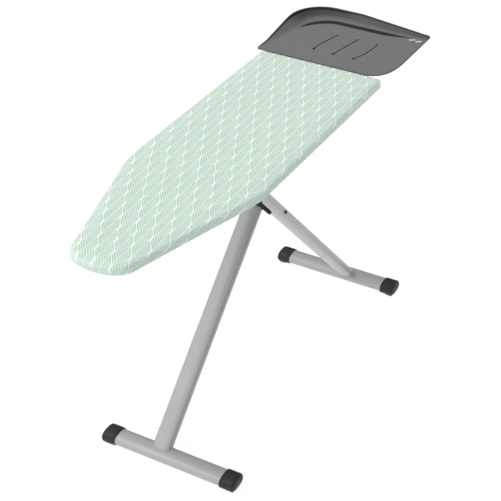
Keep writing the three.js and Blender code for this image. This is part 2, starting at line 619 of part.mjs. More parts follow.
function restOutline() {
  const [front, back] = REST_X;
  const half = REST_HALF_WIDTH;
  const [runX, runY] = REST_FRONT_CORNER;
  const pull = [REST_FRONT_PULL[0] * runX, REST_FRONT_PULL[1] * runY];
  const shape = new THREE.Shape();
  shape.moveTo(front, -half + runY);
  shape.bezierCurveTo(front, -half + pull[1], front + pull[0], -half, front + runX, -half);
  shape.lineTo(back - REST_CORNER, -half);
  shape.absarc(back - REST_CORNER, -half + REST_CORNER, REST_CORNER, -QUARTER, 0, false);
  shape.absarc(back - REST_BACK_CORNER, half - REST_BACK_CORNER, REST_BACK_CORNER, 0, QUARTER, false);
  shape.lineTo(front + REST_CORNER, half);
  shape.absarc(front + REST_CORNER, half - REST_CORNER, REST_CORNER, QUARTER, Math.PI, false);
  shape.closePath();
  return shape;
}

// Bowl whose sides lean out behind and on the far side only: it runs past the tray's other edges.
function restBowl(lift) {
  const past = 200;
  const back = REST_X[1] - REST_WALL_RUN + 1;
  const far = REST_HALF_WIDTH - REST_WALL_RUN + 1;
  const corner = REST_BACK_CORNER - REST_WALL_RUN;
  const shape = new THREE.Shape();
  shape.moveTo(REST_X[0] - past, -REST_HALF_WIDTH - past);
  shape.lineTo(back, -REST_HALF_WIDTH - past);
  shape.absarc(back - corner, far - corner, corner, 0, QUARTER, false);
  shape.lineTo(REST_X[0] - past, far);
  shape.closePath();
  const bowl = new THREE.ExtrudeGeometry(shape, {
    depth: 40, bevelThickness: REST_WALL_HEIGHT, bevelSize: REST_WALL_RUN, bevelSegments: 4, curveSegments: 8,
  });
  return bowl.translate(0, 0, REST_FLOOR_BOTTOM_Z + REST_WALL_HEIGHT + lift);
}

// Everything above the tray's slanting top edge.
function aboveRest() {
  const size = 1200;
  const box = new THREE.BoxGeometry(size, size, size).translate(0, 0, size / 2);
  box.applyMatrix4(new THREE.Matrix4().makeShear(0, REST_TILT_X, 0, REST_TILT_Y, 0, 0));
  return box.translate(REST_PEAK[0], REST_PEAK[1], REST_FLOOR_TOP_Z + REST_PEAK_RISE);
}

function saddle(x, y, armZ, z) {
  const xs = [x - SADDLE_LENGTH / 2, x + SADDLE_LENGTH / 2];
  const groove = rodAlongX(ARM_RADIUS + GAP, [xs[0] - 1, xs[1] + 1], 16).translate(0, y, armZ);
  return cut(block(xs, [y - SADDLE_HALF, y + SADDLE_HALF], z), groove);
}

function buildIronRest() {
  const outline = restOutline();
  const plan = solid(prism(outline, 80, 12).translate(0, 0, REST_FLOOR_BOTTOM_Z));
  const floor = solid(prism(outline, REST_THICKNESS, 12).translate(0, 0, REST_FLOOR_BOTTOM_Z));
  const wall = solid(restBowl(0)).subtract(solid(restBowl(REST_THICKNESS))).intersect(plan);
  const tray = wall.subtract(solid(aboveRest())).add(floor);
  add(board, 'iron_rest', geometryOf(tray), trayGrey);
  for (const [side, sign] of [['left', 1], ['right', -1]]) {
    const y = sign * ARM_Y;
    const section = new THREE.Shape().absarc(0, 0, ARM_RADIUS, 0, 2 * Math.PI, false);
    section.holes.push(new THREE.Path().absarc(0, 0, ARM_RADIUS - ARM_WALL, 0, 2 * Math.PI, false));
    const at = (x, z) => new THREE.Vector3(x, y, z);
    const middle = (ARM_X[1] + ARM_X[2]) / 2;
    const path = new THREE.CurvePath();
    path.add(new THREE.LineCurve3(at(ARM_X[0], ARM_LOW_Z), at(ARM_X[1], ARM_LOW_Z)));
    path.add(new THREE.CubicBezierCurve3(
      at(ARM_X[1], ARM_LOW_Z), at(middle, ARM_LOW_Z), at(middle, ARM_HIGH_Z), at(ARM_X[2], ARM_HIGH_Z),
    ));
    path.add(new THREE.LineCurve3(at(ARM_X[2], ARM_HIGH_Z), at(ARM_X[3], ARM_HIGH_Z)));
    const arm = new THREE.ExtrudeGeometry(section, { steps: 26, curveSegments: 4, extrudePath: path });
    add(board, `rest_arm_${side}`, arm, silver);
    [RIB_XS[4], RIB_XS[5]].forEach((x, index) => {
      const piece = saddle(x, y, ARM_LOW_Z, [ARM_LOW_Z + GAP, RIB_BOTTOM_Z - GAP]);
      add(board, `arm_saddle_${side}_${index + 1}`, piece, black);
    });
    const saddleZ = [ARM_HIGH_Z - ARM_RADIUS - TRAY_SADDLE_WEB, REST_FLOOR_BOTTOM_Z - GAP / 2];
    TRAY_SADDLE_XS.forEach((x, index) => {
      const piece = saddle(x, y, ARM_HIGH_Z, saddleZ);
      add(board, `tray_saddle_${side}_${index + 1}`, piece, black);
    });
  }
}

buildDeck();
buildRibs();
buildChannel();
buildBracket();
buildRod();
buildLockBar();
buildLever();
buildLeg(frontLeg, 'front', QUARTER - FRONT_ANGLE, FRONT_UPPER, FRONT_LOWER, LEG_OFFSET_Y, FRONT_FOOT_LENGTH);
buildLeg(rearLeg, 'rear', REAR_ANGLE - QUARTER, REAR_UPPER, REAR_LOWER, -LEG_OFFSET_Y, REAR_FOOT_LENGTH);
buildCrossing();
buildAxle();
buildIronRest();

const ironingBoard = new THREE.Group();
ironingBoard.add(board, lever, frontLeg, rearLeg);

export default ironingBoard;
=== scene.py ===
# Looks of a folding ironing board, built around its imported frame. Metres, +Z up, the frame's own axes.
import json
import math

import bmesh
import bpy
import numpy as np
from mathutils import Matrix, Vector, noise


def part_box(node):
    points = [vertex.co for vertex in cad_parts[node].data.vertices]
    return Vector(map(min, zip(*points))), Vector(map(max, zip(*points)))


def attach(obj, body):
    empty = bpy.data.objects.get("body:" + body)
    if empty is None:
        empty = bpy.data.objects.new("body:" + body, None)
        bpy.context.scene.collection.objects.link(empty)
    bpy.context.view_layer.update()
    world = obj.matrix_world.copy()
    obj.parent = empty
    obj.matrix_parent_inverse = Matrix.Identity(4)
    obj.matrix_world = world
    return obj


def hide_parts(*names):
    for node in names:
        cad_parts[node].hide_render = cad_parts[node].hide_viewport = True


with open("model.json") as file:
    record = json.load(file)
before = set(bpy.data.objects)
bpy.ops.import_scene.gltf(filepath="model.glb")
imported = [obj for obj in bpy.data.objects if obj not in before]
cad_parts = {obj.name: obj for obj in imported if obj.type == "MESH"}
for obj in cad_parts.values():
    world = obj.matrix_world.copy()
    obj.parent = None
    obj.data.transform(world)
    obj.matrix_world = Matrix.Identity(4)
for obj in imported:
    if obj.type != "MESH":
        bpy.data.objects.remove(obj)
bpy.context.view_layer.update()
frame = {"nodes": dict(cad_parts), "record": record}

MM = 0.001
BODY_OF_NODE = {
    node: body
    for body, nodes in frame["record"]["behaviour"]["bodies"].items()
    for node in nodes
}

# Board plan, from the cover's box and four driving dimensions
COVER_LOW, COVER_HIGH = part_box("cover")
NOSE_X, TAIL_X, HALF_WIDTH = COVER_LOW.x, COVER_HIGH.x, COVER_HIGH.y
TOP_Z, COVER_BOTTOM_Z = COVER_HIGH.z, COVER_LOW.z
SHOULDER_X = TAIL_X - 743 * MM
SHOULDER_BLEND = 45 * MM
NOSE_START = (NOSE_X + 51 * MM, 90 * MM)
NOSE_ROUND = 0.62
TAIL_RADIUS = 17 * MM
COVER_POINTS = 720
COVER_EDGE = 12 * MM
COVER_EASE = 1.8 * MM            # how far the cloth stands out past the deck's outline
NOSE_EASE = 2.2 * MM
COVER_CROWN = 1.6 * MM           # how far the cloth falls away over the pad's soft edge
CROWN_WIDTH = 30 * MM
HEM_WIDTH = 24 * MM
CLOTH_THICKNESS = 0.9 * MM

# Legs and feet: oval tube
TUBE_WIDTH = 60 * MM
TUBE_DEPTH = 34 * MM
OVAL_POWER = 0.8
LEG_OFFSET = 37 * MM
CROSSING = Vector((92.5 * MM, 0, 571 * MM))
FOOT_Z = sum(c.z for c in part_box("front_foot_tube")) / 2
FRONT_FOOT_X = sum(c.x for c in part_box("front_foot_tube")) / 2
REAR_FOOT_X = sum(c.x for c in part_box("rear_foot_tube")) / 2
CAP_LENGTH = 48 * MM
CAP_WALL = 3.2 * MM

# Cloth print: leaf-shaped cells in staggered rows
CELL_LENGTH = 99.4 * MM
ROW_PITCH = 25.25 * MM
CELL_START_X = -274 * MM
PRINT_STRETCH = 0.055            # how much wider the print grows per metre towards the tail
STROKE_PITCH = CELL_LENGTH / 10
STROKE_ANGLE = math.radians(39)


# ---------------------------------------------------------------- materials

def srgb(red, green, blue):
    """A colour given as 8-bit sRGB, as linear values."""
    def linear(value):
        value /= 255
        return value / 12.92 if value <= 0.04045 else ((value + 0.055) / 1.055) ** 2.4
    return (linear(red), linear(green), linear(blue), 1.0)


class Shader:
    """A Principled material and short ways to build the nodes that feed it."""

    def __init__(self, name, **constants):
        self.material = bpy.data.materials.new(name)
        self.material.use_nodes = True
        self.tree = self.material.node_tree
        self.bsdf = self.tree.nodes["Principled BSDF"]
        for socket, value in constants.items():
            self.bsdf.inputs[socket.replace("_", " ")].default_value = value
        self._object = None

    def node(self, kind, inputs=(), **settings):
        made = self.tree.nodes.new(kind)
        for key, value in settings.items():
            setattr(made, key, value)
        for socket, value in dict(inputs).items():
            self.put(made.inputs[socket], value)
        return made

    def put(self, socket, value):
        if isinstance(value, bpy.types.NodeSocket):
            self.tree.links.new(value, socket)
        else:
            socket.default_value = value

    def feed(self, socket, value):
        self.put(self.bsdf.inputs[socket], value)

    def object_coordinates(self):
        if self._object is None:
            self._object = self.node("ShaderNodeTexCoord").outputs["Object"]
        return self._object

    def math(self, operation, first, second=0.0, third=0.0):
        made = self.node("ShaderNodeMath", {0: first, 1: second, 2: third}, operation=operation)
        return made.outputs[0]

    def ramp(self, value, start, end, low=0.0, high=1.0):
        """A smooth step from low at start to high at end."""
        inputs = {"Value": value, "From Min": start, "From Max": end, "To Min": low, "To Max": high}
        return self.node("ShaderNodeMapRange", inputs, interpolation_type="SMOOTHSTEP").outputs["Result"]

    def mix(self, factor, first, second):
        made = self.node("ShaderNodeMix", data_type="RGBA")
        self.put(made.inputs["Factor"], factor)
        self.put(made.inputs[6], first)
        self.put(made.inputs[7], second)
        return made.outputs[2]

    def noise(self, scale, detail=3.0, stretch=None, coordinates=None):
        coordinates = coordinates or self.object_coordinates()
        if stretch:
            mapping = self.node("ShaderNodeMapping", {"Vector": coordinates, "Scale": stretch})
            coordinates = mapping.outputs["Vector"]
        inputs = {"Vector": coordinates, "Scale": scale, "Detail": detail}
        return self.node("ShaderNodeTexNoise", inputs).outputs["Fac"]

    def cells(self, scale, feature="F1"):
        inputs = {"Vector": self.object_coordinates(), "Scale": scale}
        return self.node("ShaderNodeTexVoronoi", inputs, feature=feature).outputs["Distance"]

    def attribute(self, name):
        return self.node("ShaderNodeAttribute", attribute_name=name).outputs["Fac"]

    def bump(self, height, distance, strength=1.0, normal=None):
        inputs = {"Height": height, "Distance": distance, "Strength": strength}
        if normal is not None:
            inputs["Normal"] = normal
        return self.node("ShaderNodeBump", inputs).outputs["Normal"]


def painted_steel(name, color, roughness, metallic, dust):
    """Satin metallic paint: a fine flake, slight orange peel and a little handling dust."""
    s = Shader(name, Metallic=metallic, Coat_Weight=0.3, Coat_Roughness=0.12)
    flake = s.ramp(s.cells(5200), 0.2, 0.9)
    tone = s.mix(flake, tuple(0.94 * c for c in color[:3]) + (1,), color)
    cloud = s.ramp(s.noise(9, 4), 0.35, 0.75, 0.0, dust)
    s.feed("Base Color", s.mix(cloud, tone, tuple(0.86 * c for c in color[:3]) + (1,)))
    smear = s.noise(26, 5, stretch=(1, 0.25, 1))
    s.feed("Roughness", s.ramp(smear, 0.3, 0.75, roughness - 0.05, roughness + 0.07))
    peel = s.bump(s.noise(420, 2), 0.00006, 0.5)
    s.feed("Normal", s.bump(s.noise(60, 3), 0.0002, 0.25, peel))
    return s.material


def zinc_plate(name):
    """Bright zinc plating: faint spangle, rolling streaks and small scuffs."""
    s = Shader(name, Metallic=1.0)
    spangle = s.ramp(s.cells(340), 0.1, 0.8)
    tone = s.mix(spangle, srgb(166, 168, 170), srgb(196, 198, 200))
    stain = s.ramp(s.noise(70, 5), 0.5, 0.8, 0.0, 0.45)
    s.feed("Base Color", s.mix(stain, tone, srgb(140, 141, 140)))
    streak = s.noise(120, 4, stretch=(0.1, 1, 1))
    s.feed("Roughness", s.ramp(streak, 0.3, 0.75, 0.26, 0.46))
    s.feed("Normal", s.bump(streak, 0.00008, 0.4))
    return s.material


def moulded_plastic(name, color, roughness, grain):
    """Moulded plastic: an eroded mould grain, faint flow marks and rubbed high spots."""
    s = Shader(name, Specular_IOR_Level=0.42)
    rubbed = s.ramp(s.noise(38, 5), 0.48, 0.78, 0.0, 0.35)
    lighter = tuple(min(1.0, 1.5 * c + 0.008) for c in color[:3]) + (1,)
    s.feed("Base Color", s.mix(rubbed, color, lighter))
    s.feed("Roughness", s.ramp(s.noise(90, 4), 0.3, 0.7, roughness - 0.08, roughness + 0.08))
    pits = s.bump(s.noise(1500, 2), grain, 0.6)
    s.feed("Normal", s.bump(s.noise(24, 2), 0.0004, 0.12, pits))
    return s.material


def tray_plastic(name):
    """Grey heat-proof plastic with a fine grain, darkened to near black by painted shade on its walls, rolled
    rim, trench and grooves.
    """
    s = Shader(name, Specular_IOR_Level=0.16)
    mottle = s.ramp(s.noise(46, 5), 0.35, 0.7)
    grey = s.mix(mottle, srgb(117, 117, 118), srgb(121, 121, 121))
    speck = s.ramp(s.cells(900), 0.0, 0.35, 0.25, 0.0)
    grey = s.mix(speck, grey, srgb(92, 92, 93))
    # painted shade: the stored per-point shade darkens the grey towards near black
    s.feed("Base Color", s.mix(s.attribute("painted_shade"), grey, srgb(16, 16, 17)))
    s.feed("Roughness", s.ramp(s.noise(80, 4), 0.3, 0.7, 0.42, 0.56))
    grain = s.bump(s.noise(1300, 2), 0.00012, 0.6)
    s.feed("Normal", s.bump(s.noise(18, 2), 0.0005, 0.12, grain))
    return s.material


def cover_cloth(name):
    """Printed cotton: leaf-shaped cells outlined in near white and hatched with slanting strokes."""
    s = Shader(name, Sheen_Weight=0.2, Sheen_Roughness=0.55, Specular_IOR_Level=0.2)
    flat = s.node("ShaderNodeUVMap", uv_map="cloth").outputs["UV"]
    wander = s.node("ShaderNodeTexNoise", {"Vector": flat, "Scale": 14.0, "Detail": 2.0}).outputs["Color"]
    wander = s.node("ShaderNodeVectorMath", {0: wander, 1: (0.5, 0.5, 0.5)}, operation="SUBTRACT").outputs[0]
    wander = s.node("ShaderNodeVectorMath", {0: wander, "Scale": 3 * MM}, operation="SCALE").outputs[0]
    place = s.node("ShaderNodeVectorMath", {0: flat, 1: wander}, operation="ADD").outputs[0]
    axes = s.node("ShaderNodeSeparateXYZ", {0: place}).outputs
    along, across = axes["X"], axes["Y"]

    bend = s.math("MULTIPLY", s.math("MULTIPLY", along, along), -PRINT_STRETCH / 2)
    unstretched = s.math("SUBTRACT", s.math("ADD", along, bend), CELL_START_X)
    half_cells = s.math("DIVIDE", unstretched, CELL_LENGTH / 2)
    row_width = s.math("MULTIPLY_ADD", along, PRINT_STRETCH * ROW_PITCH, ROW_PITCH)
    rows = s.math("DIVIDE", across, row_width)
    fa = s.math("FRACT", half_cells)
    fb = s.math("FRACT", rows)
    odd = s.math("FLOORED_MODULO", s.math("ADD", s.math("FLOOR", half_cells), s.math("FLOOR", rows)), 2.0)
    wave = s.math("MULTIPLY_ADD", s.math("COSINE", s.math("MULTIPLY", fa, math.pi)), -0.36, 0.36)
    rise = s.math("MULTIPLY_ADD", fa, 0.28, wave)
    turned = s.math("MULTIPLY", odd, s.math("MULTIPLY_ADD", rise, -2.0, 1.0))
    above = s.math("SUBTRACT", fb, s.math("ADD", rise, turned))
    off_edge = s.math("MULTIPLY", s.math("ABSOLUTE", above), ROW_PITCH * 0.85)
    near_node = s.math("POWER", s.math("ABSOLUTE", s.math("COSINE", s.math("MULTIPLY", fa, math.pi))), 9.0)
    line_width = s.math("MULTIPLY_ADD", near_node, 0.8 * MM, 1.1 * MM)
    outline = s.ramp(s.math("DIVIDE", off_edge, line_width), 1.25, 0.55)
    falling = s.math("MULTIPLY", odd, s.math("SUBTRACT", 1.0, near_node))
    outline = s.math("MULTIPLY", outline, s.math("MULTIPLY_ADD", falling, -0.45, 1.0))

    from_row = s.math("MINIMUM", fb, s.math("SUBTRACT", 1.0, fb))
    midrib = s.ramp(s.math("MULTIPLY", from_row, ROW_PITCH), 1.9 * MM, 0.7 * MM, 0.0, 0.7)
    lower = s.math("GREATER_THAN", above, 0.0)
    from_middle = s.math("ABSOLUTE", s.math("SUBTRACT", fa, odd))
    bare = s.math("MULTIPLY", lower, s.ramp(from_middle, 0.5, 0.25, 0.0, 0.75))
    lean = s.math("MULTIPLY", s.math("MULTIPLY", fb, row_width), -1.0 / math.tan(STROKE_ANGLE))
    phase = s.math("DIVIDE", s.math("ADD", unstretched, lean), STROKE_PITCH)
    stroke = s.ramp(s.math("ABSOLUTE", s.math("SUBTRACT", s.math("FRACT", phase), 0.5)), 0.32, 0.18)
    clear = s.math("MULTIPLY", s.math("SUBTRACT", 1.0, outline), s.math("SUBTRACT", 1.0, midrib))
    hatch = s.math("MULTIPLY", clear, s.math("SUBTRACT", 1.0, bare))

    ground = s.mix(s.ramp(s.noise(7, 3), 0.3, 0.7), srgb(205, 225, 210), srgb(209, 229, 214))
    hatched = s.mix(stroke, srgb(217, 236, 223), srgb(187, 208, 193))
    print_color = s.mix(hatch, ground, hatched)
    print_color = s.mix(midrib, print_color, srgb(232, 249, 237))
    print_color = s.mix(outline, print_color, srgb(246, 255, 248))
    warp = s.math("SINE", s.math("MULTIPLY", along, 2 * math.pi / (1.1 * MM)))
    weft = s.math("SINE", s.math("MULTIPLY", across, 2 * math.pi / (1.1 * MM)))
    weave = s.math("MULTIPLY_ADD", s.math("MULTIPLY", warp, weft), 0.5, 0.5)
    s.feed("Base Color", s.mix(s.math("MULTIPLY", weave, 0.08), print_color, srgb(150, 172, 158)))
    s.feed("Roughness", s.ramp(weave, 0.0, 1.0, 0.8, 0.92))
    woven = s.bump(weave, 0.00012, 0.5)
    s.feed("Normal", s.bump(s.noise(22, 4), 0.0009, 0.22, woven))
    return s.material


def felt_fibre(name):
    """Needled felt: short matted fibres and a slightly uneven off-white."""
    s = Shader(name, Sheen_Weight=0.4, Sheen_Roughness=0.7, Specular_IOR_Level=0.15, Roughness=0.95)
    fibre = s.noise(900, 5, stretch=(1, 0.2, 1))
    cloud = s.noise(40, 4)
    tone = s.mix(s.ramp(fibre, 0.3, 0.7), srgb(205, 202, 194), srgb(232, 229, 222))
    s.feed("Base Color", s.mix(s.ramp(cloud, 0.45, 0.75, 0.0, 0.4), tone, srgb(188, 186, 180)))
    s.feed("Normal", s.bump(fibre, 0.0004, 0.8))
    return s.material


def twisted_cotton(name):
    """White cotton cord with its fine yarns across the twist."""
    s = Shader(name, Sheen_Weight=0.3, Specular_IOR_Level=0.2, Roughness=0.9)
    yarn = s.noise(1400, 3, stretch=(1, 1, 0.3))
    s.feed("Base Color", s.mix(s.ramp(yarn, 0.3, 0.7), srgb(190, 191, 186), srgb(228, 229, 224)))
    s.feed("Normal", s.bump(yarn, 0.0003, 0.7))
    return s.material


SILVER = srgb(176, 177, 179)
MATERIALS = {
    "cover_cloth": cover_cloth("printed_cotton"),
    "felt": felt_fibre("needled_felt"),
    "drawcord": twisted_cotton("cotton_cord"),
    "deck_steel": painted_steel("deck_paint", srgb(176, 178, 180), 0.46, 0.45, 0.5),
    "silver_paint": painted_steel("silver_paint", SILVER, 0.48, 0.25, 0.2),
    "zinc": zinc_plate("zinc_plating"),
    "black_steel": painted_steel("black_steel_paint", srgb(40, 40, 41), 0.4, 0.3, 0.3),
    "black_plastic": moulded_plastic("black_moulding", srgb(30, 30, 31), 0.48, 0.00012),
    "tray_plastic": tray_plastic("grey_moulding"),
}


# ---------------------------------------------------------------- mesh tools

def place_piece(name, mesh, slot, body, nodes=(), smooth_angle=38.0):
    """Links a mesh as a piece that stands for CAD nodes, with its material, smooth apart from its edges."""
    mesh.validate()
    mesh.shade_smooth()
    mesh.set_sharp_from_angle(angle=math.radians(smooth_angle))
    mesh.materials.clear()
    mesh.materials.append(MATERIALS[slot])
    piece = bpy.data.objects.new(name, mesh)
    bpy.context.scene.collection.objects.link(piece)
    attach(piece, body)
    if nodes:
        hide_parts(*nodes)
    return piece


def mesh_of(name, vertices, faces):
    mesh = bpy.data.meshes.new(name)
    mesh.from_pydata([tuple(v) for v in vertices], [], faces)
    mesh.update()
    return mesh


def loft_faces(count, size, closed=False, caps=True, start=0):
    """Quads between rings of one size; closed joins the last ring to the first, caps fill both ends."""
    faces = []
    for ring in range(count if closed else count - 1):
        low, high = start + ring * size, start + ((ring + 1) % count) * size
        for i in range(size):
            j = (i + 1) % size
            faces.append((low + i, low + j, high + j, high + i))
    if caps and not closed:
        faces.append(tuple(start + i for i in reversed(range(size))))
        faces.append(tuple(start + (count - 1) * size + i for i in range(size)))
    return faces


def loft(name, rings, closed=False, caps=True):
    vertices = [point for ring in rings for point in ring]
    return mesh_of(name, vertices, loft_faces(len(rings), len(rings[0]), closed, caps))


def outward(mesh):
    """Turns every face of a closed mesh to point out."""
    work = bmesh.new()
    work.from_mesh(mesh)
    bmesh.ops.recalc_face_normals(work, faces=work.faces)
    work.to_mesh(mesh)
    work.free()
    return mesh


def sweep_rings(path, radius, sides=12, closed=False, shape=None):
    """Rings of a tube along a path. shape(angle, place) scales the radius."""
    path = [Vector(p) for p in path]
    count = len(path)
    rings = []
    across = None
    for i, point in enumerate(path):
        before = path[i - 1] if i or closed else path[i]
        after = path[(i + 1) % count] if i < count - 1 or closed else path[i]
        along = (after - before).normalized()
        if across is None:
            across = Vector((0, 0, 1)) if abs(along.z) < 0.9 else Vector((1, 0, 0))
        across = (across - along * across.dot(along)).normalized()
        side = along.cross(across)
        size = radius(i / count) if callable(radius) else radius
        ring = []
        for step in range(sides):
            angle = 2 * math.pi * step / sides
            scale = shape(angle, i / count) if shape else 1.0
            ring.append(point + (across * math.cos(angle) + side * math.sin(angle)) * size * scale)
        rings.append(ring)
    return rings


def sweep(name, path, radius, sides=12, closed=False, shape=None):
    return outward(loft(name, sweep_rings(path, radius, sides, closed, shape), closed))


def rounded(radius, low, high, corner, steps=3):
    """Half-profile (radius, place) of a disc from low to high with rounded edges."""
    points = [(0.0, low)]
    for k in range(steps + 1):
        angle = math.pi / 2 * k / steps
        points.append((radius - corner + corner * math.sin(angle), low + corner - corner * math.cos(angle)))
    for k in range(steps + 1):
        angle = math.pi / 2 * k / steps
        points.append((radius - corner + corner * math.cos(angle), high - corner + corner * math.sin(angle)))
    return points + [(0.0, high)]


def lathe(name, profile, centre, axis, sides=40):
    """Turns (radius, place along the axis) points round an axis through centre."""
    axis = Vector(axis)
    turn = axis.to_track_quat("Z", "X").to_matrix()
    vertices, rings = [], []
    for radius, place in profile:
        if radius < 1e-7:
            rings.append([len(vertices)])
            vertices.append(Vector(centre) + turn @ Vector((0, 0, place)))
            continue
        ring = []
        for i in range(sides):
            angle = 2 * math.pi * i / sides
            ring.append(len(vertices))
            spot = Vector((radius * math.cos(angle), radius * math.sin(angle), place))
            vertices.append(Vector(centre) + turn @ spot)
        rings.append(ring)
    faces = []
    ends = zip(rings, rings[1:] + ([rings[0]] if len(rings[0]) > 1 else []))
    for low, high in ends:
        for i in range(sides):
            j = (i + 1) % sides
            corners = (low[i % len(low)], low[j % len(low)], high[j % len(high)], high[i % len(high)])
            face = tuple(dict.fromkeys(corners))
            if len(face) > 2:
                faces.append(face)
    return outward(mesh_of(name, vertices, faces))


def box_centre(node):
    low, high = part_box(node)
    return (low + high) / 2


def turned_piece(node, slot, bore, corner=0.4 * MM, axis="y"):
    """A washer, clip, bush or spacer that stands for a ring node."""
    low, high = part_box(node)
    k = "xyz".index(axis)
    half = (high[k] - low[k]) / 2
    radius = (high[(k + 1) % 3] - low[(k + 1) % 3]) / 2
    outer = rounded(radius, -half, half, corner)[1:-1]
    profile = [(bore, -half)] + outer + [(bore, half)]
    direction = [0, 0, 0]
    direction[k] = 1
    mesh = lathe(node + "_turned", profile, box_centre(node), direction)
    return place_piece(node + "_turned", mesh, slot, BODY_OF_NODE[node], [node])


def refine(node, slot, edge=0.5 * MM, segments=2):
    """A copy of a CAD node with rounded edges."""
    work = bmesh.new()
    work.from_mesh(frame["nodes"][node].data)
    bmesh.ops.remove_doubles(work, verts=work.verts, dist=1e-6)
    bmesh.ops.dissolve_limit(work, angle_limit=math.radians(3), verts=work.verts, edges=work.edges)
    sharp = [e for e in work.edges if len(e.link_faces) == 2 and e.calc_face_angle(0) > math.radians(34)]
    bmesh.ops.bevel(work, geom=sharp, offset=edge, offset_type="OFFSET", segments=segments,
                    profile=0.5, affect="EDGES", clamp_overlap=True)
    mesh = bpy.data.meshes.new(node + "_shaped")
    work.to_mesh(mesh)
    work.free()
    return place_piece(node + "_shaped", mesh, slot, BODY_OF_NODE[node], [node])


# ---------------------------------------------------------------- board outline

def smooth_step(value, low, high):
    t = min(1.0, max(0.0, (value - low) / (high - low)))
    return t * t * (3 - 2 * t)


def bezier(points, count):
    """Points on a Bezier curve of any order, without its last point."""
    places = []
    for step in range(count):
        t = step / count
        row = [Vector(p) for p in points]
        while len(row) > 1:
            row = [a.lerp(b, t) for a, b in zip(row, row[1:])]
        places.append(row[0])
    return places


def arc(centre, radius, start, end, count):
    angles = [start + (end - start) * step / count for step in range(count)]
    return [Vector((centre[0] + radius * math.cos(a), centre[1] + radius * math.sin(a))) for a in angles]


def resample(points, places):
    spots = np.array([[p[0], p[1]] for p in points])
    lengths = np.r_[0, np.cumsum(np.hypot(*np.diff(spots, axis=0).T))]
    wanted = np.asarray(places) * lengths[-1]
    return np.c_[np.interp(wanted, lengths, spots[:, 0]), np.interp(wanted, lengths, spots[:, 1])]


def board_loop(count):
    """Evenly spaced plan points round the board's edge, anticlockwise, with their outward normals."""
    quarter = math.pi / 2
    tail, half = TAIL_X - TAIL_RADIUS, HALF_WIDTH - TAIL_RADIUS
    start = Vector(NOSE_START)
    shoulder = Vector((SHOULDER_X, HALF_WIDTH))
    taper = (start - shoulder).normalized()
    lead = start + taper * 0.6 * (NOSE_START[0] - NOSE_X)
    blend = shoulder + taper * SHOULDER_BLEND
    tip = (NOSE_X, 0)
    far = [
        *arc((tail, half), TAIL_RADIUS, 0, quarter, 24),
        Vector((tail, HALF_WIDTH)),
        *bezier([(SHOULDER_X + SHOULDER_BLEND, HALF_WIDTH), shoulder, blend], 16),
        blend,
        *bezier([start, lead, (NOSE_X, NOSE_ROUND * start.y), tip], 40),
        Vector(tip),
    ]
    half_way = resample([(TAIL_X, 0), *far], np.linspace(0, 1, count // 2 + 1))
    loop = np.vstack([half_way[:-1], half_way[:0:-1] * (1, -1)])
    steps = np.hypot(*(np.roll(loop, -1, 0) - loop).T)
    places = np.r_[0, np.cumsum(steps)[:-1]]
    along = np.roll(loop, -1, 0) - np.roll(loop, 1, 0)
    along /= np.linalg.norm(along, axis=1)[:, None]
    return loop, np.c_[along[:, 1], -along[:, 0]], places


def moved_in(loop, normals, distance, ripple=0.0):
    """The outline moved in by a distance, squared off where that passes the tail's corner radius."""
    plan = loop - normals * distance
    if distance > TAIL_RADIUS:
        side = HALF_WIDTH - distance
        plan = np.c_[np.minimum(plan[:, 0], TAIL_X - distance), np.clip(plan[:, 1], -side, side)]
    return plan + normals * np.reshape(ripple, (-1, 1))


def inside(loop, x, y):
    """Whether a plan point lies inside a closed loop of points."""
    x0, y0 = loop[:, 0], loop[:, 1]
    x1, y1 = np.roll(x0, -1), np.roll(y0, -1)
    crosses = (y0 > y) != (y1 > y)
    with np.errstate(divide="ignore", invalid="ignore"):
        hits = x < (x1 - x0) * (y - y0) / (y1 - y0) + x0
    return bool(np.count_nonzero(crosses & hits) % 2)


# ---------------------------------------------------------------- cover, pad, cord

def cover_profile():
    """Rings from the last flat one outwards: (inset from the edge, height, cloth run past the edge)."""
    rows = []
    for inset in (24 * MM, 18.5 * MM, 14.5 * MM):
        fall = COVER_CROWN * (1 - inset / CROWN_WIDTH) ** 2
        rows.append((inset, TOP_Z - fall, -inset))
    shoulder = TOP_Z - COVER_CROWN * (1 - COVER_EDGE / CROWN_WIDTH) ** 2
    for step in range(9):
        angle = math.pi / 2 * step / 8
        inset = COVER_EDGE * (1 - math.sin(angle))
        height = shoulder - COVER_EDGE * (1 - math.cos(angle))
        rows.append((inset, height, -COVER_EDGE + COVER_EDGE * angle))
    side_top, side_bottom = rows[-1][1], COVER_BOTTOM_Z + 4 * MM
    run = rows[-1][2]
    for step in (1, 2, 3, 4):
        height = side_top + (side_bottom - side_top) * step / 4
        rows.append((0.0, height, run + side_top - height))
    run = rows[-1][2]
    for step in (1, 2, 3):
        angle = math.pi / 2 * step / 3
        height = side_bottom - 3.2 * MM * math.sin(angle)
        rows.append((4 * MM * (1 - math.cos(angle)), height, run + 4 * MM * angle))
    run = rows[-1][2]
    for inset in (7.5 * MM, 11.5 * MM, 15.5 * MM, 19.5 * MM, 23 * MM):
        rows.append((inset, COVER_BOTTOM_Z + 0.8 * MM, run + inset - 4 * MM))
    return rows


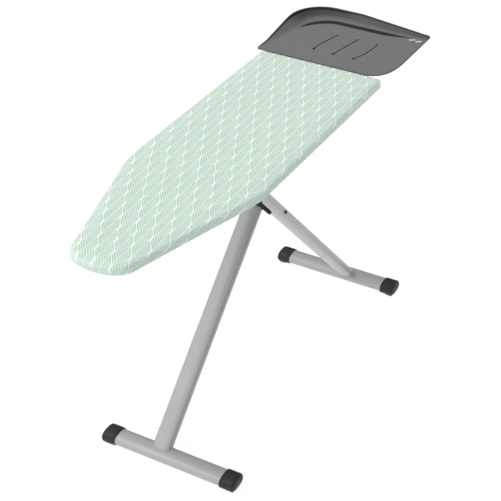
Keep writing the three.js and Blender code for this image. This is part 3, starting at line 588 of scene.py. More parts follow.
def build_cover():
    """The printed cloth: flat over the pad, round its edge, and gathered under the deck on its cord."""
    loop, normals, places = board_loop(COVER_POINTS)
    spine = np.c_[np.clip(loop[:, 0], NOSE_X + 160 * MM, TAIL_X - 170 * MM), np.zeros(len(loop))]
    rows = cover_profile()
    rim = moved_in(loop, normals, CROWN_WIDTH)
    ease = np.array([COVER_EASE + NOSE_EASE * smooth_step(NOSE_X + 160 * MM - p[0], 0, 160 * MM) for p in loop])
    rings, flats = [], []
    for step in range(1, 13):
        plan = spine + (rim - spine) * step / 12
        rings.append(np.c_[plan, np.full(len(plan), TOP_Z)])
        flats.append(plan)
    for inset, height, run in rows:
        below = max(0.0, (TOP_Z - 8 * MM - height) / (TOP_Z - 8 * MM - COVER_BOTTOM_Z))
        gather = np.array([noise.noise(Vector((p[0] * 60, p[1] * 60, 3.7))) for p in loop])
        ripple = np.sin(2 * math.pi * places / (23 * MM) + 2.2 * gather)
        pucker = (0.55 * MM * below ** 2) * ripple + ease * min(1.0, max(0.0, 1 - inset / CROWN_WIDTH))
        lift = 0.0
        if inset > 4 * MM and height < COVER_BOTTOM_Z + 2 * MM:
            lift = -1.7 * MM * (inset / HEM_WIDTH) * (1 + ripple)
        plan = moved_in(loop, normals, inset, pucker)
        rings.append(np.c_[plan, np.full(len(plan), height) + lift])
        flats.append(loop + normals * run)
    size = len(loop)
    vertices = np.vstack([np.c_[spine, np.full(size, TOP_Z)]] + rings)
    flat = np.vstack([spine] + flats)
    faces = loft_faces(len(rings) + 1, size, caps=False)
    mesh = mesh_of("cover_cloth", vertices, faces)
    layer = mesh.uv_layers.new(name="cloth")
    corners = np.zeros(len(mesh.loops), np.int32)
    mesh.loops.foreach_get("vertex_index", corners)
    layer.data.foreach_set("uv", flat[corners].astype(np.float32).ravel())
    work = bmesh.new()
    work.from_mesh(mesh)
    bmesh.ops.remove_doubles(work, verts=work.verts, dist=2e-5)
    bmesh.ops.recalc_face_normals(work, faces=work.faces)
    if sum(f.normal.z for f in work.faces if f.calc_center_median().z > TOP_Z - MM) < 0:
        bmesh.ops.reverse_faces(work, faces=work.faces)
    work.to_mesh(mesh)
    work.free()
    piece = place_piece("cover_cloth", mesh, "cover_cloth", "board", ["cover"], 70.0)
    settle_cover(piece)
    shell = piece.modifiers.new("thickness", "SOLIDIFY")
    shell.thickness = CLOTH_THICKNESS
    shell.offset = -1
    return piece


def settle_cover(piece):
    """Lets the stretched cloth settle over the pad by simulation, by no more than a small cap."""
    cap = 1.4 * MM
    before = np.array([v.co for v in piece.data.vertices])
    held = piece.vertex_groups.new(name="held")
    tight = TOP_Z - 2.5 * MM
    for vertex, spot in zip(piece.data.vertices, before):
        fixed = spot[2] < tight or spot[0] > TAIL_X - 40 * MM
        held.add([vertex.index], 1.0 if fixed else 0.0, "REPLACE")
    cloth = piece.modifiers.new("settle", "CLOTH")
    cloth.settings.quality = 4
    cloth.settings.mass = 0.25
    cloth.settings.vertex_group_mass = "held"
    cloth.settings.tension_stiffness = 30
    cloth.settings.compression_stiffness = 8
    cloth.settings.bending_stiffness = 0.4
    cloth.settings.use_pressure = True
    cloth.settings.uniform_pressure_force = 1.2
    cloth.settings.effector_weights.gravity = 0
    cloth.collision_settings.use_collision = False
    for step in range(1, 15):
        bpy.context.scene.frame_set(step)
    graph = bpy.context.evaluated_depsgraph_get()
    after = np.array([v.co for v in piece.evaluated_get(graph).data.vertices])
    move = after - before
    length = np.linalg.norm(move, axis=1)[:, None]
    move *= np.minimum(1.0, cap / np.maximum(length, 1e-9))
    piece.modifiers.remove(cloth)
    piece.vertex_groups.clear()
    piece.data.vertices.foreach_set("co", (before + move).astype(np.float32).ravel())
    piece.data.update()
    bpy.context.scene.frame_set(1)


def build_pad():
    """The felt underlay between the cloth and the deck."""
    low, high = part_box("pad")
    loop, normals, _ = board_loop(360)
    inset = HALF_WIDTH - high.y
    rings = []
    soft = 5 * MM
    profile = [(inset + 30 * MM, high.z)]
    profile += [(inset + soft * (1 - math.sin(a)), high.z - soft * (1 - math.cos(a))) for a in
                (0.0, 0.5, 1.0, math.pi / 2)]
    profile += [(inset, low.z + MM), (inset + MM, low.z), (inset + 30 * MM, low.z)]
    for step, height in profile:
        wave = np.array([0.4 * MM * noise.noise(Vector((p[0] * 25, p[1] * 25, height * 40))) for p in loop])
        plan = moved_in(loop, normals, step, -np.abs(wave))
        rings.append(np.c_[plan, np.full(len(plan), height)])
    mesh = outward(loft("pad_felt", rings))
    piece = place_piece("pad_felt", mesh, "felt", "board", ["pad"])


def build_drawcord():
    """The twisted cord that gathers the cover's hem."""
    low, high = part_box("cover_drawcord")
    inset = HALF_WIDTH - high.y + (high.z - low.z) / 2
    loop, normals, places = board_loop(1500)
    radius = (high.z - low.z) / 2
    sway = 0.5 * MM * np.sin(2 * math.pi * places / (23 * MM))
    plan = moved_in(loop, normals, inset, sway)
    for _ in range(6):
        plan = (np.roll(plan, 2, 0) + plan + np.roll(plan, -2, 0)) / 3
    path = [(x, y, (low.z + high.z) / 2) for x, y in plan]
    turns = round(places[-1] / (14 * MM))
    twist = lambda angle, place: 0.9 + 0.12 * math.cos(3 * angle + 2 * math.pi * turns * place)
    mesh = sweep("drawcord_twist", path, radius, 12, True, twist)
    place_piece("drawcord_twist", mesh, "drawcord", "board", ["cover_drawcord"], 80.0)


# ---------------------------------------------------------------- deck

def build_deck():
    """Expanded steel: a lattice of slit diamonds inside a plain border."""
    low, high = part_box("deck_mesh")
    loop, normals, _ = board_loop(480)
    fence = moved_in(loop, normals, 10 * MM)
    half_x, half_y, strand = 6.5 * MM, 15 * MM, 1.1 * MM
    shrink = 1 - strand / (half_x * half_y / math.hypot(half_x, half_y))
    work = bmesh.new()
    corners = {}

    def corner(i, j):
        if (i, j) not in corners:
            corners[i, j] = work.verts.new((NOSE_X + i * half_x, j * half_y, low.z + 0.3 * MM))
        return corners[i, j]

    columns = int((TAIL_X - NOSE_X) / half_x)
    rows = int(HALF_WIDTH / half_y) + 1
    for i in range(1, columns):
        for j in range(-rows, rows + 1):
            places = [(i + 1, j), (i, j + 1), (i - 1, j), (i, j - 1)]
            plan = [(NOSE_X + a * half_x, b * half_y) for a, b in places]
            if (i + j) % 2 or not all(inside(fence, *p) for p in plan):
                continue
            centre = Vector((NOSE_X + i * half_x, j * half_y, low.z + 0.3 * MM))
            outer = [corner(*p) for p in places]
            hole = []
            for k in range(4):
                for other in (k - 1, (k + 1) % 4):
                    spot = outer[k].co.lerp(outer[other].co, 0.1)
                    hole.append(work.verts.new(centre + (spot - centre) * shrink))
            for k in range(4):
                after = (k + 1) % 4
                work.faces.new((outer[k], hole[2 * k + 1], hole[2 * k]))
                work.faces.new((outer[k], outer[after], hole[2 * after], hole[2 * k + 1]))
    bmesh.ops.recalc_face_normals(work, faces=work.faces)
    lattice = bpy.data.meshes.new("deck_lattice")
    work.to_mesh(lattice)
    work.free()
    piece = place_piece("deck_lattice", lattice, "deck_steel", "board", ["deck_mesh"], 50.0)
    thick = piece.modifiers.new("thickness", "SOLIDIFY")
    thick.thickness = high.z - low.z - 0.3 * MM
    thick.offset = 0
    inset = HALF_WIDTH - high.y
    profile = [(inset, high.z), (inset, low.z), (inset + 13 * MM, low.z), (inset + 13 * MM, high.z)]
    rings = [np.c_[moved_in(loop, normals, step), np.full(len(loop), height)] for step, height in profile]
    band = outward(loft("deck_border", rings, closed=True))
    place_piece("deck_border", band, "deck_steel", "board")


# ---------------------------------------------------------------- legs and feet

def oval(spread=0.0, sides=56):
    """Points of the tube's oval section moved out by spread, long along the first axis."""
    points = []
    for k in range(sides):
        c, s = math.cos(2 * math.pi * k / sides), math.sin(2 * math.pi * k / sides)
        points.append((math.copysign(abs(c) ** OVAL_POWER, c) * (TUBE_WIDTH / 2 + spread),
                       math.copysign(abs(s) ** OVAL_POWER, s) * (TUBE_DEPTH / 2 + spread)))
    return points


def outside_tube(x, z):
    """Whether a point lies outside a foot tube whose middle is at the origin."""
    return abs(2 * x / TUBE_WIDTH) ** (2 / OVAL_POWER) + abs(2 * z / TUBE_DEPTH) ** (2 / OVAL_POWER) > 1


def cut_away(piece, mesh, crossing_itself=False):
    """Cuts a closed form out of a piece."""
    cutter = bpy.data.objects.new("cutter", mesh)
    bpy.context.scene.collection.objects.link(cutter)
    step = piece.modifiers.new("cut", "BOOLEAN")
    step.object = cutter
    step.operation = "DIFFERENCE"
    step.solver = "EXACT"
    step.use_self = crossing_itself
    graph = bpy.context.evaluated_depsgraph_get()
    result = bpy.data.meshes.new_from_object(piece.evaluated_get(graph))
    piece.modifiers.remove(step)
    bpy.data.objects.remove(cutter)
    piece.data = result


PIVOT_BORE = 5.3 * MM
LEG_BORES = {
    "front": (("crossing_bolt", 4.3 * MM), ("leg_pivot_pin", PIVOT_BORE)),
    "rear": (("crossing_bolt", 4.3 * MM), ("slide_axle", PIVOT_BORE)),
}


def build_leg(prefix, foot_x, offset_y):
    """A leg tube cut to sit on its foot, and the weld round the joint."""
    body = prefix + "_leg"
    foot = Vector((foot_x, offset_y, FOOT_Z))
    crossing = CROSSING + Vector((0, offset_y, 0))
    along = (crossing - foot).normalized()
    face = Vector((0, 1, 0)).cross(along)
    node = prefix + "_leg_tube"
    top = max((v.co - foot).dot(along) for v in frame["nodes"][node].data.vertices)
    section = oval()
    base = []
    for across, out in section:
        start = foot + Vector((0, across, 0)) + face * out
        near, far = 0.0, 60 * MM
        for _ in range(30):
            middle = (near + far) / 2
            spot = start + along * middle - foot
            near, far = (near, middle) if outside_tube(spot.x, spot.z) else (middle, far)
        base.append(start + along * far)
    end = [foot + Vector((0, across, 0)) + face * out + along * (top - 0.6 * MM) for across, out in section]
    lip = [foot + Vector((0, across, 0)) + face * out + along * top for across, out in oval(-0.6 * MM)]
    steps = [[a.lerp(b, k / 12) for a, b in zip(base, end)] for k in range(13)]
    mesh = outward(loft(node + "_drawn", steps + [lip]))
    tube = place_piece(node + "_drawn", mesh, "silver_paint", body, [node])
    for pin, radius in LEG_BORES[prefix]:
        hole = [(0.0, -60 * MM), (radius, -60 * MM), (radius, 60 * MM), (0.0, 60 * MM)]
        middle = box_centre(pin)
        cut_away(tube, lathe("bore", hole, (middle.x, offset_y, middle.z), (0, 1, 0), 28))
    tube.data.set_sharp_from_angle(angle=math.radians(38))
    seam = [p + along * 0.4 * MM for p in base]
    ripple = lambda angle, place: 1.0 + 0.16 * math.sin(2 * math.pi * 46 * place + math.cos(angle))
    weld = sweep(prefix + "_weld", seam, 2.1 * MM, 10, True, ripple)
    place_piece(prefix + "_weld", weld, "silver_paint", body, (), 80.0)
    build_plug(prefix, foot, along, face, body)


def build_plug(prefix, foot, along, face, body):
    """The plug in the open top of a leg: a flange with a crowned face and a stepped stem."""
    node = prefix + "_leg_plug"
    reach = [(v.co - foot).dot(along) for v in frame["nodes"][node].data.vertices]
    low, high = min(reach), max(reach)
    flange = high - 2 * MM
    profile = [(-2.2 * MM, low), (-1.6 * MM, low + MM), (-1.6 * MM, flange), (-0.4 * MM, flange),
               (0.0, flange + 0.5 * MM), (0.0, high - 0.9 * MM), (-0.6 * MM, high - 0.2 * MM),
               (-2.2 * MM, high), (-9 * MM, high + 0.6 * MM)]
    rings = [
        [foot + Vector((0, a, 0)) + face * b + along * place for a, b in oval(spread)]
        for spread, place in profile
    ]
    place_piece(node + "_moulded", outward(loft(node + "_moulded", rings)), "black_plastic", body, [node])


def build_foot(prefix, foot_x, offset_y):
    """The foot tube with rolled ends and its two moulded caps."""
    body = prefix + "_leg"
    node = prefix + "_foot_tube"
    low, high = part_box(node)
    ends = [(-1.0 * MM, low.y), (0.0, low.y + MM)]
    ends += [(0.0, low.y + (high.y - low.y) * k / 10) for k in range(1, 10)]
    ends += [(0.0, high.y - MM), (-1.0 * MM, high.y)]
    rings = [[(foot_x + x, y, FOOT_Z + z) for x, z in oval(spread)] for spread, y in ends]
    place_piece(node + "_drawn", outward(loft(node + "_drawn", rings)), "silver_paint", body, [node])
    for side, way in (("left", 1), ("right", -1)):
        build_cap(f"{prefix}_foot_cap_{side}", foot_x, way, body)


def build_cap(node, foot_x, way, body):
    """An end cap: a beaded mouth, a drawn-in waist, a crowned end face, a tongue and two ribbed pads."""
    low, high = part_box(node)
    tip = high.y if way > 0 else low.y
    profile = [(0.35, 0.0), (1.6, 0.0), (2.9, 0.5), (3.2, 1.6), (3.0, 3.0), (2.4, 3.9), (2.3, 5.2), (3.1, 6.4),
               (3.2, 14), (3.2, 26), (3.2, 35), (3.05, 38.5), (2.5, 41.2), (1.4, 43.3), (0.2, 44.4), (-0.5, 44.5),
               (-1.0, 44.9), (-3.5, 46.0), (-7, 47.0), (-11, 47.7), (-14.5, 48)]
    rings = [
        [(foot_x + x, tip - way * (CAP_LENGTH - place * MM), FOOT_Z + z) for x, z in oval(spread * MM)]
        for spread, place in profile
    ]
    work = bmesh.new()
    work.from_mesh(outward(loft(node + "_shell", rings)))
    inner = tip - way * (CAP_LENGTH + 12 * MM)
    below = FOOT_Z - TUBE_DEPTH / 2
    add_block(work, (foot_x - 13 * MM, foot_x + 13 * MM), sorted((inner, tip - way * (CAP_LENGTH - 6 * MM))),
              (below - 3.2 * MM, below - 0.3 * MM), 1.0 * MM)
    for shift in (-14 * MM, 14 * MM):
        near, far = sorted((tip - way * 8 * MM, tip - way * 30 * MM))
        xs = (foot_x + shift - 8 * MM, foot_x + shift + 8 * MM)
        add_block(work, xs, (near, far), (0.8 * MM, FOOT_Z - 15 * MM), 1.4 * MM)
        for k in range(4):
            middle = near + (far - near) * (k + 0.5) / 4
            add_block(work, (xs[0] + MM, xs[1] - MM), (middle - 1.7 * MM, middle + 1.7 * MM),
                      (0.0, 2 * MM), 0.5 * MM)
    mesh = bpy.data.meshes.new(node + "_moulded")
    work.to_mesh(mesh)
    work.free()
    place_piece(node + "_moulded", mesh, "black_plastic", body, [node], 30.0)


def add_block(work, xs, ys, zs, edge):
    """Adds a block with rounded edges to a bmesh."""
    size = (xs[1] - xs[0], ys[1] - ys[0], zs[1] - zs[0])
    centre = ((xs[0] + xs[1]) / 2, (ys[0] + ys[1]) / 2, (zs[0] + zs[1]) / 2)
    matrix = Matrix.Translation(centre) @ Matrix.Diagonal((*size, 1))
    made = bmesh.ops.create_cube(work, size=1.0, matrix=matrix)
    edges = list({e for v in made["verts"] for e in v.link_edges})
    bmesh.ops.bevel(work, geom=edges, offset=edge, segments=3, profile=0.5, affect="EDGES", clamp_overlap=True)


def build_crossing():
    """The bolt through both legs, with its domed head, and the pieces on it."""
    low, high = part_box("crossing_bolt")
    centre = Vector((CROSSING.x, 0, CROSSING.z))
    head = 3.5 * MM
    profile = [(0.0, low.y + 1.6 * MM), (2.2 * MM, low.y + 1.6 * MM), (2.5 * MM, low.y + 0.1 * MM)]
    for k in range(7):
        angle = math.pi / 2 * k / 6
        profile.append((2.7 * MM + 3.5 * MM * math.sin(angle), low.y + (head - 0.5 * MM) * (1 - math.cos(angle))))
    profile += [(6.2 * MM, low.y + head), (4 * MM, low.y + head)]
    thread = high.y - 14 * MM
    profile.append((4 * MM, thread))
    for k in range(13):
        profile.append(((3.5 if k % 2 else 4.0) * MM, thread + MM * (k + 1)))
    profile += [(3.2 * MM, high.y), (0.0, high.y)]
    mesh = lathe("crossing_bolt_turned", profile, centre, (0, 1, 0), 36)
    place_piece("crossing_bolt_turned", mesh, "black_steel", "front_leg", ["crossing_bolt"])
    for node in ("crossing_washer_1", "crossing_washer_2"):
        turned_piece(node, "zinc", 4.3 * MM)
    turned_piece("crossing_spacer", "black_plastic", 4.3 * MM, 1.2 * MM)
    refine("crossing_nut", "zinc", 0.7 * MM, 3)


def build_axle():
    low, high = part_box("slide_axle")
    radius = (high.x - low.x) / 2
    profile = rounded(radius, low.y, high.y, 1.0 * MM)
    groove = 8 * MM
    profile[len(profile) // 2:len(profile) // 2] = [
        (radius, high.y - groove), (radius - 0.8 * MM, high.y - groove + 0.2 * MM),
        (radius - 0.8 * MM, high.y - groove + 1.4 * MM), (radius, high.y - groove + 1.6 * MM),
    ]
    centre = box_centre("slide_axle")
    mesh = lathe("slide_axle_turned", profile, (centre.x, 0, centre.z), (0, 1, 0))
    place_piece("slide_axle_turned", mesh, "zinc", "rear_leg", ["slide_axle"])
    for node in ("slide_bush_outer", "slide_bush_inner"):
        turned_piece(node, "black_plastic", 5.2 * MM, 0.8 * MM)
    for node in ("axle_clip_outer", "axle_clip_inner"):
        turned_piece(node, "zinc", 5.2 * MM)


# ---------------------------------------------------------------- under the deck

def build_under_deck():
    refine("deck_rim", "silver_paint", 0.6 * MM)
    for name in ("nose", "front", "middle", "rear", "bracket", "tail"):
        refine(f"rib_{name}", "silver_paint", 0.5 * MM, 3)
    refine("slide_channel", "zinc", 0.6 * MM, 3)
    refine("leg_bracket", "zinc", 0.6 * MM, 3)
    for node in (n for n in frame["nodes"] if n.startswith("rivet_")):
        low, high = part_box(node)
        centre = box_centre(node)
        dome = [(0.0, low.z)]
        dome += [(6 * MM * math.sin(a), low.z + 2 * MM * (1 - math.cos(a))) for a in (0.4, 0.8, 1.2, math.pi / 2)]
        upset = [(5 * MM * math.cos(a), high.z - 2 * MM + 2 * MM * math.sin(a)) for a in (0.0, 0.5, 1.0)]
        profile = dome + [(3 * MM, low.z + 2 * MM), (3 * MM, high.z - 2 * MM)] + upset + [(0.0, high.z)]
        mesh = lathe(node + "_set", profile, (centre.x, centre.y, 0), (0, 0, 1), 28)
        place_piece(node + "_set", mesh, "zinc", "board", [node])
    low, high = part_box("leg_pivot_pin")
    centre = box_centre("leg_pivot_pin")
    profile = [(0.0, low.y), (4.4 * MM, low.y), (5 * MM, low.y + 0.6 * MM), (5 * MM, high.y - 2.5 * MM),
               (8 * MM, high.y - 2.5 * MM), (8 * MM, high.y - 1.6 * MM), (6.4 * MM, high.y - 0.4 * MM),
               (3 * MM, high.y), (0.0, high.y)]
    mesh = lathe("leg_pivot_pin_turned", profile, (centre.x, 0, centre.z), (0, 1, 0))
    place_piece("leg_pivot_pin_turned", mesh, "zinc", "board", ["leg_pivot_pin"])
    turned_piece("leg_pivot_clip", "black_steel", 5.2 * MM)


def build_lever():
    """The height lever: a hub on the rod and a flattened handle that narrows and droops to its tip."""
    low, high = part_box("lever_rod")
    centre = box_centre("lever_rod")
    radius = (high.z - low.z) / 2
    rod = lathe("lever_rod_turned", rounded(radius, low.x, high.x, 0.9 * MM), (0, centre.y, centre.z), (1, 0, 0))
    place_piece("lever_rod_turned", rod, "zinc", "board", ["lever_rod"])
    for node in ("lever_hanger_1", "lever_hanger_2"):
        refine(node, "zinc", 0.5 * MM, 3)
    refine("lock_bar", "zinc", 0.4 * MM)

    low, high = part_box("height_lever")
    hub = Vector(((low.x + high.x) / 2, centre.y, centre.z))
    tip = Vector((hub.x, low.y, low.z + 4 * MM))
    down = (tip - hub).normalized()
    upward = Vector((1, 0, 0)).cross(down)
    if upward.z < 0:
        upward = -upward
    reach = (tip - hub).length
    rings = []
    steps = 96
    for k in range(5, steps + 1):
        t = k / steps
        end = math.sqrt(max(0.0, 1 - max(0.0, (t - 0.94) / 0.06) ** 2))
        root = min(1.0, 0.55 + 4 * t)
        neck = smooth_step(t, 0.62, 0.68)
        wide = (11 - 1.2 * t - 3.4 * neck) * MM * max(end, 0.05) * root ** 0.2
        deep = (6.2 - 0.6 * t - 2.0 * neck) * MM * max(end, 0.08)
        grip = 0.8 * MM * max(0.0, math.sin(2 * math.pi * 12 * t)) if 0.3 < t < 0.95 else 0.0
        middle = hub + down * (reach * t) + upward * (2.4 * MM * math.sin(math.pi * t))
        ring = []
        for i in range(28):
            angle = 2 * math.pi * i / 28
            c, s = math.cos(angle), math.sin(angle)
            across = math.copysign(abs(c) ** 0.55, c) * wide
            out = math.copysign(abs(s) ** 0.7, s) * (deep + (grip if s < 0 else 0.0))
            ring.append(middle + Vector((across, 0, 0)) + upward * out)
        rings.append(ring)
    work = bmesh.new()
    work.from_mesh(outward(loft("handle", rings)))
    profile = [(3.3, -11), (7, -11), (8, -10), (8, -6), (7.2, -5), (7.2, 5), (8, 6), (8, 10), (7, 11), (3.3, 11)]
    work.from_mesh(lathe("hub", [(r * MM, p * MM) for r, p in profile], hub, (1, 0, 0)))
    mesh = bpy.data.meshes.new("height_lever_moulded")
    work.to_mesh(mesh)
    work.free()
    place_piece("height_lever_moulded", mesh, "black_plastic", "lever", ["height_lever"])

    low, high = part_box("lever_spring")
    turns, coil = 5, 4.8 * MM
    path = [(low.x - 2 * MM, hub.y + 2 * MM, hub.z + coil + 6 * MM)]
    for k in range(turns * 16 + 1):
        angle = 2 * math.pi * k / 16
        path.append((low.x + (high.x - low.x) * k / (turns * 16),
                     hub.y + coil * math.sin(angle), hub.z + coil * math.cos(angle)))
    path.append((high.x + 0.5 * MM, hub.y + 8 * MM, hub.z + coil))
    spring = sweep("lever_spring_wound", path, 0.7 * MM, 8)
    place_piece("lever_spring_wound", spring, "zinc", "lever", ["lever_spring"], 60.0)


# ---------------------------------------------------------------- iron rest

REST_LOW, REST_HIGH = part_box("iron_rest")
REST_THICKNESS = 3 * MM
REST_FLOOR_Z = REST_LOW.z + REST_THICKNESS
REST_BACK_RUN = 39 * MM          # how far inside the outline the back and far walls start to rise
REST_FAR_RUN = 46 * MM
REST_FAR_START = (440 * MM, 615 * MM)
REST_WALL_HEIGHT = 22.5 * MM
REST_WALL_CURVE = 1.5
REST_BACK_RADIUS = 110 * MM
REST_FOOT_RADIUS = 100 * MM
REST_RADIUS = 11 * MM
REST_FRONT_RUN = (130 * MM, 78 * MM)
TRENCH_WIDTH = 25 * MM
TRENCH_DEPTH = 2.2 * MM


def rest_sides():
    """The tray's plan outline as four sides that meet in the middle of its corners."""
    x0, x1, half = REST_LOW.x, REST_HIGH.x, REST_HIGH.y
    run_x, run_y = REST_FRONT_RUN
    quarter = math.pi / 2
    front = bezier([(x0, -half + run_y), (x0, -half + 0.3 * run_y), (x0 + 0.35 * run_x, -half),
                    (x0 + run_x, -half)], 40) + [Vector((x0 + run_x, -half))]
    near_back = arc((x1 - REST_RADIUS, -half + REST_RADIUS), REST_RADIUS, -quarter, 0, 20)
    far_back = arc((x1 - REST_BACK_RADIUS, half - REST_BACK_RADIUS), REST_BACK_RADIUS, 0, quarter, 40)
    far_back.append(Vector((x1 - REST_BACK_RADIUS, half)))
    far_front = arc((x0 + REST_RADIUS, half - REST_RADIUS), REST_RADIUS, quarter, 2 * quarter, 20)
    far_front.append(Vector((x0, half - REST_RADIUS)))
    near = front[20:] + near_back[:11]
    back = near_back[10:] + far_back[:21]
    far = far_back[20:] + far_front[:11]
    board_side = far_front[10:] + front[:21]
    return near, back, far, board_side


def past_wall_foot(x, y):
    """How far a plan point lies beyond the foot of the tray's back and far walls."""
    back, far = REST_HIGH.x - REST_BACK_RUN, REST_HIGH.y - REST_FAR_RUN
    px, py = x - (back - REST_FOOT_RADIUS), y - (far - REST_FOOT_RADIUS)
    if px > 0 and py > 0:
        return math.hypot(px, py) - REST_FOOT_RADIUS
    start, end = REST_FAR_START
    opening = min(1.0, max(0.0, (x - start) / (end - start)))
    return max(x - back, y - (REST_HIGH.y - 5 * MM) + (REST_FAR_RUN - 5 * MM) * opening)


def inside_rim(x, y):
    """How far a plan point lies inside the top edge of those walls."""
    px, py = x - (REST_HIGH.x - REST_BACK_RADIUS), y - (REST_HIGH.y - REST_BACK_RADIUS)
    if px > 0 and py > 0:
        return REST_BACK_RADIUS - math.hypot(px, py)
    return min(REST_HIGH.x - x, REST_HIGH.y - y)


def wall_climb(x, y):
    """Place up the walls: 0 at the foot, 1 at the top edge, below 0 on the floor."""
    past = past_wall_foot(x, y)
    if past <= 0:
        return past / REST_BACK_RUN
    return min(1.0, past / max(past + inside_rim(x, y), MM))


def rest_height(x, y):
    """Height of the tray's upper face above its floor, without its trench."""
    slant = 30 * MM + 0.154 * (x - 707 * MM) + 0.1 * (y - 180 * MM)
    full = min(REST_WALL_HEIGHT, max(slant, 0.2 * MM))
    return full * max(0.0, wall_climb(x, y)) ** REST_WALL_CURVE


def trench_share(x, y):
    """How deep the crescent trench along the walls' foot is at a point, from 0 to 1."""
    share = smooth_step(x, 605 * MM, 690 * MM) * smooth_step(y, -205 * MM, -70 * MM)
    width = TRENCH_WIDTH * share
    past = past_wall_foot(x, y)
    inner = smooth_step(past, -width - 1.2 * MM, -width + 2.4 * MM)
    return inner * (1 - smooth_step(past, -2.4 * MM, 1.2 * MM)) * min(1.0, 4 * share)


def tray_grid(columns, rows):
    """Plan points of a grid fitted to the tray's outline, closer together near its edges."""
    near, back, far, board_side = rest_sides()
    u = 0.5 - 0.5 * np.cos(math.pi * np.linspace(0, 1, columns + 1))
    v = 0.5 - 0.5 * np.cos(math.pi * np.linspace(0, 1, rows + 1))
    u = 0.55 * u + 0.45 * np.linspace(0, 1, columns + 1)
    v = 0.55 * v + 0.45 * np.linspace(0, 1, rows + 1)
    south, east = resample(near, u), resample(back, v)
    north, west = resample(far, 1 - u), resample(board_side, 1 - v)
    grid = np.zeros((rows + 1, columns + 1, 2))
    for i, a in enumerate(v):
        for j, b in enumerate(u):
            straight = (1 - a) * south[j] + a * north[j] + (1 - b) * west[i] + b * east[i]
            corners = ((1 - a) * (1 - b) * south[0] + (1 - a) * b * south[-1]
                       + a * (1 - b) * north[0] + a * b * north[-1])
            grid[i, j] = straight - corners
    return grid


REST_GROOVES = (
    ((508.5, 62), (529, 64), (554.5, 58), (597, 50), (635.5, 38)),
    ((505.5, -6), (533, -10), (561.5, -16), (598, -24), (635.5, -29)),
    ((505.5, -74), (531, -86), (557.5, -95), (595, -98.5), (632.5, -95)),
)
REST_SLOTS = ((714.5, -175), (714, -197))
REST_SLOT_HALF = (6.8 * MM, 5.3 * MM)


def groove_path(points, count=28):
    spots = [Vector((x * MM, y * MM, REST_FLOOR_Z + 0.5 * MM)) for x, y in points]
    path = bezier(spots, count) + [spots[-1]]
    return path


def build_tray():
    """The moulded tray: floor, leaning wall, rolled rim, three curved grooves and two oval slots."""
    rows, columns = 170, 140
    plan = [(x, y, REST_FLOOR_Z + rest_height(x, y)) for row in tray_grid(columns, rows) for x, y in row]
    vertices = [Vector((x, y, z - TRENCH_DEPTH * trench_share(x, y))) for x, y, z in plan]
    vertices += [Vector((x, y, z - REST_THICKNESS)) for x, y, z in plan]
    wide = columns + 1
    below = wide * (rows + 1)
    faces = []
    for i in range(rows):
        for j in range(columns):
            a = i * wide + j
            faces.append((a, a + 1, a + 1 + wide, a + wide))
            faces.append((below + a, below + a + wide, below + a + 1 + wide, below + a + 1))
    edge = [j for j in range(columns)] + [i * wide + columns for i in range(rows)]
    edge += [rows * wide + columns - j for j in range(columns)] + [(rows - i) * wide for i in range(rows)]
    count = len(edge)
    middle = sum((vertices[i] for i in edge), Vector()) / count
    bands = []
    for out, drop in ((-1.2, 1.1), (-0.2, 0.5), (0.0, -0.9), (0.0, -2.1), (-0.4, -2.9)):
        start = len(vertices)
        bands.append(range(start, start + count))
        for k, i in enumerate(edge):
            before, after = vertices[edge[k - 1]], vertices[edge[(k + 1) % count]]
            along = (after - before).normalized()
            normal = Vector((along.y, -along.x, 0)).normalized()
            bead = smooth_step(vertices[i].x, REST_LOW.x + 6 * MM, REST_LOW.x + 40 * MM) if drop > 0 else 1.0
            vertices.append(vertices[i] + normal * out * MM + Vector((0, 0, drop * MM * bead)))
    chain = [edge, *bands, [below + i for i in edge]]
    for first, second in zip(chain, chain[1:]):
        for k in range(count):
            after = (k + 1) % count
            faces.append((first[k], second[k], second[after], first[after]))
    mesh = outward(mesh_of("iron_rest_moulded", vertices, faces))
    piece = place_piece("iron_rest_moulded", mesh, "tray_plastic", "board", ["iron_rest"], 40.0)
    cut_tray(piece)
    # painted shade on the tray's walls, rim, trench and grooves
    paint_tray_shade(piece, [Vector(vertices[i]) for i in edge])


def cut_tray(piece):
    """Cuts the grooves and the oval slots."""
    work = bmesh.new()
    for points in REST_GROOVES:
        path = groove_path(points)
        work.from_mesh(sweep("groove", path, 2.1 * MM, 12))
        dot = [(0.0, -2.2 * MM), (4.6 * MM, -2.2 * MM), (5.6 * MM, 0.2 * MM), (5.6 * MM, 2 * MM), (0.0, 2 * MM)]
        work.from_mesh(lathe("dot", dot, path[0], (0, 0, 1), 20))
    cutters = [bpy.data.meshes.new("grooves")]
    work.to_mesh(cutters[0])
    work.free()
    tilt = math.radians(-57)
    straight, radius = REST_SLOT_HALF
    for x, y in REST_SLOTS:
        loop = []
        for side in (0, math.pi):
            for k in range(13):
                angle = side - math.pi / 2 + math.pi * k / 12
                shift = straight if side == 0 else -straight
                loop.append(Vector((shift + radius * math.cos(angle), radius * math.sin(angle), 0)))
        turn = Matrix.Translation((x * MM, y * MM, REST_FLOOR_Z)) @ Matrix.Rotation(tilt, 4, "Z")
        rings = [[turn @ (p + Vector((0, 0, height * MM))) for p in loop] for height in (-12, 25)]
        cutters.append(outward(loft("slot", rings)))
    for mesh in cutters:
        cut_away(piece, mesh, mesh is cutters[0])
    piece.data.set_sharp_from_angle(angle=math.radians(40))


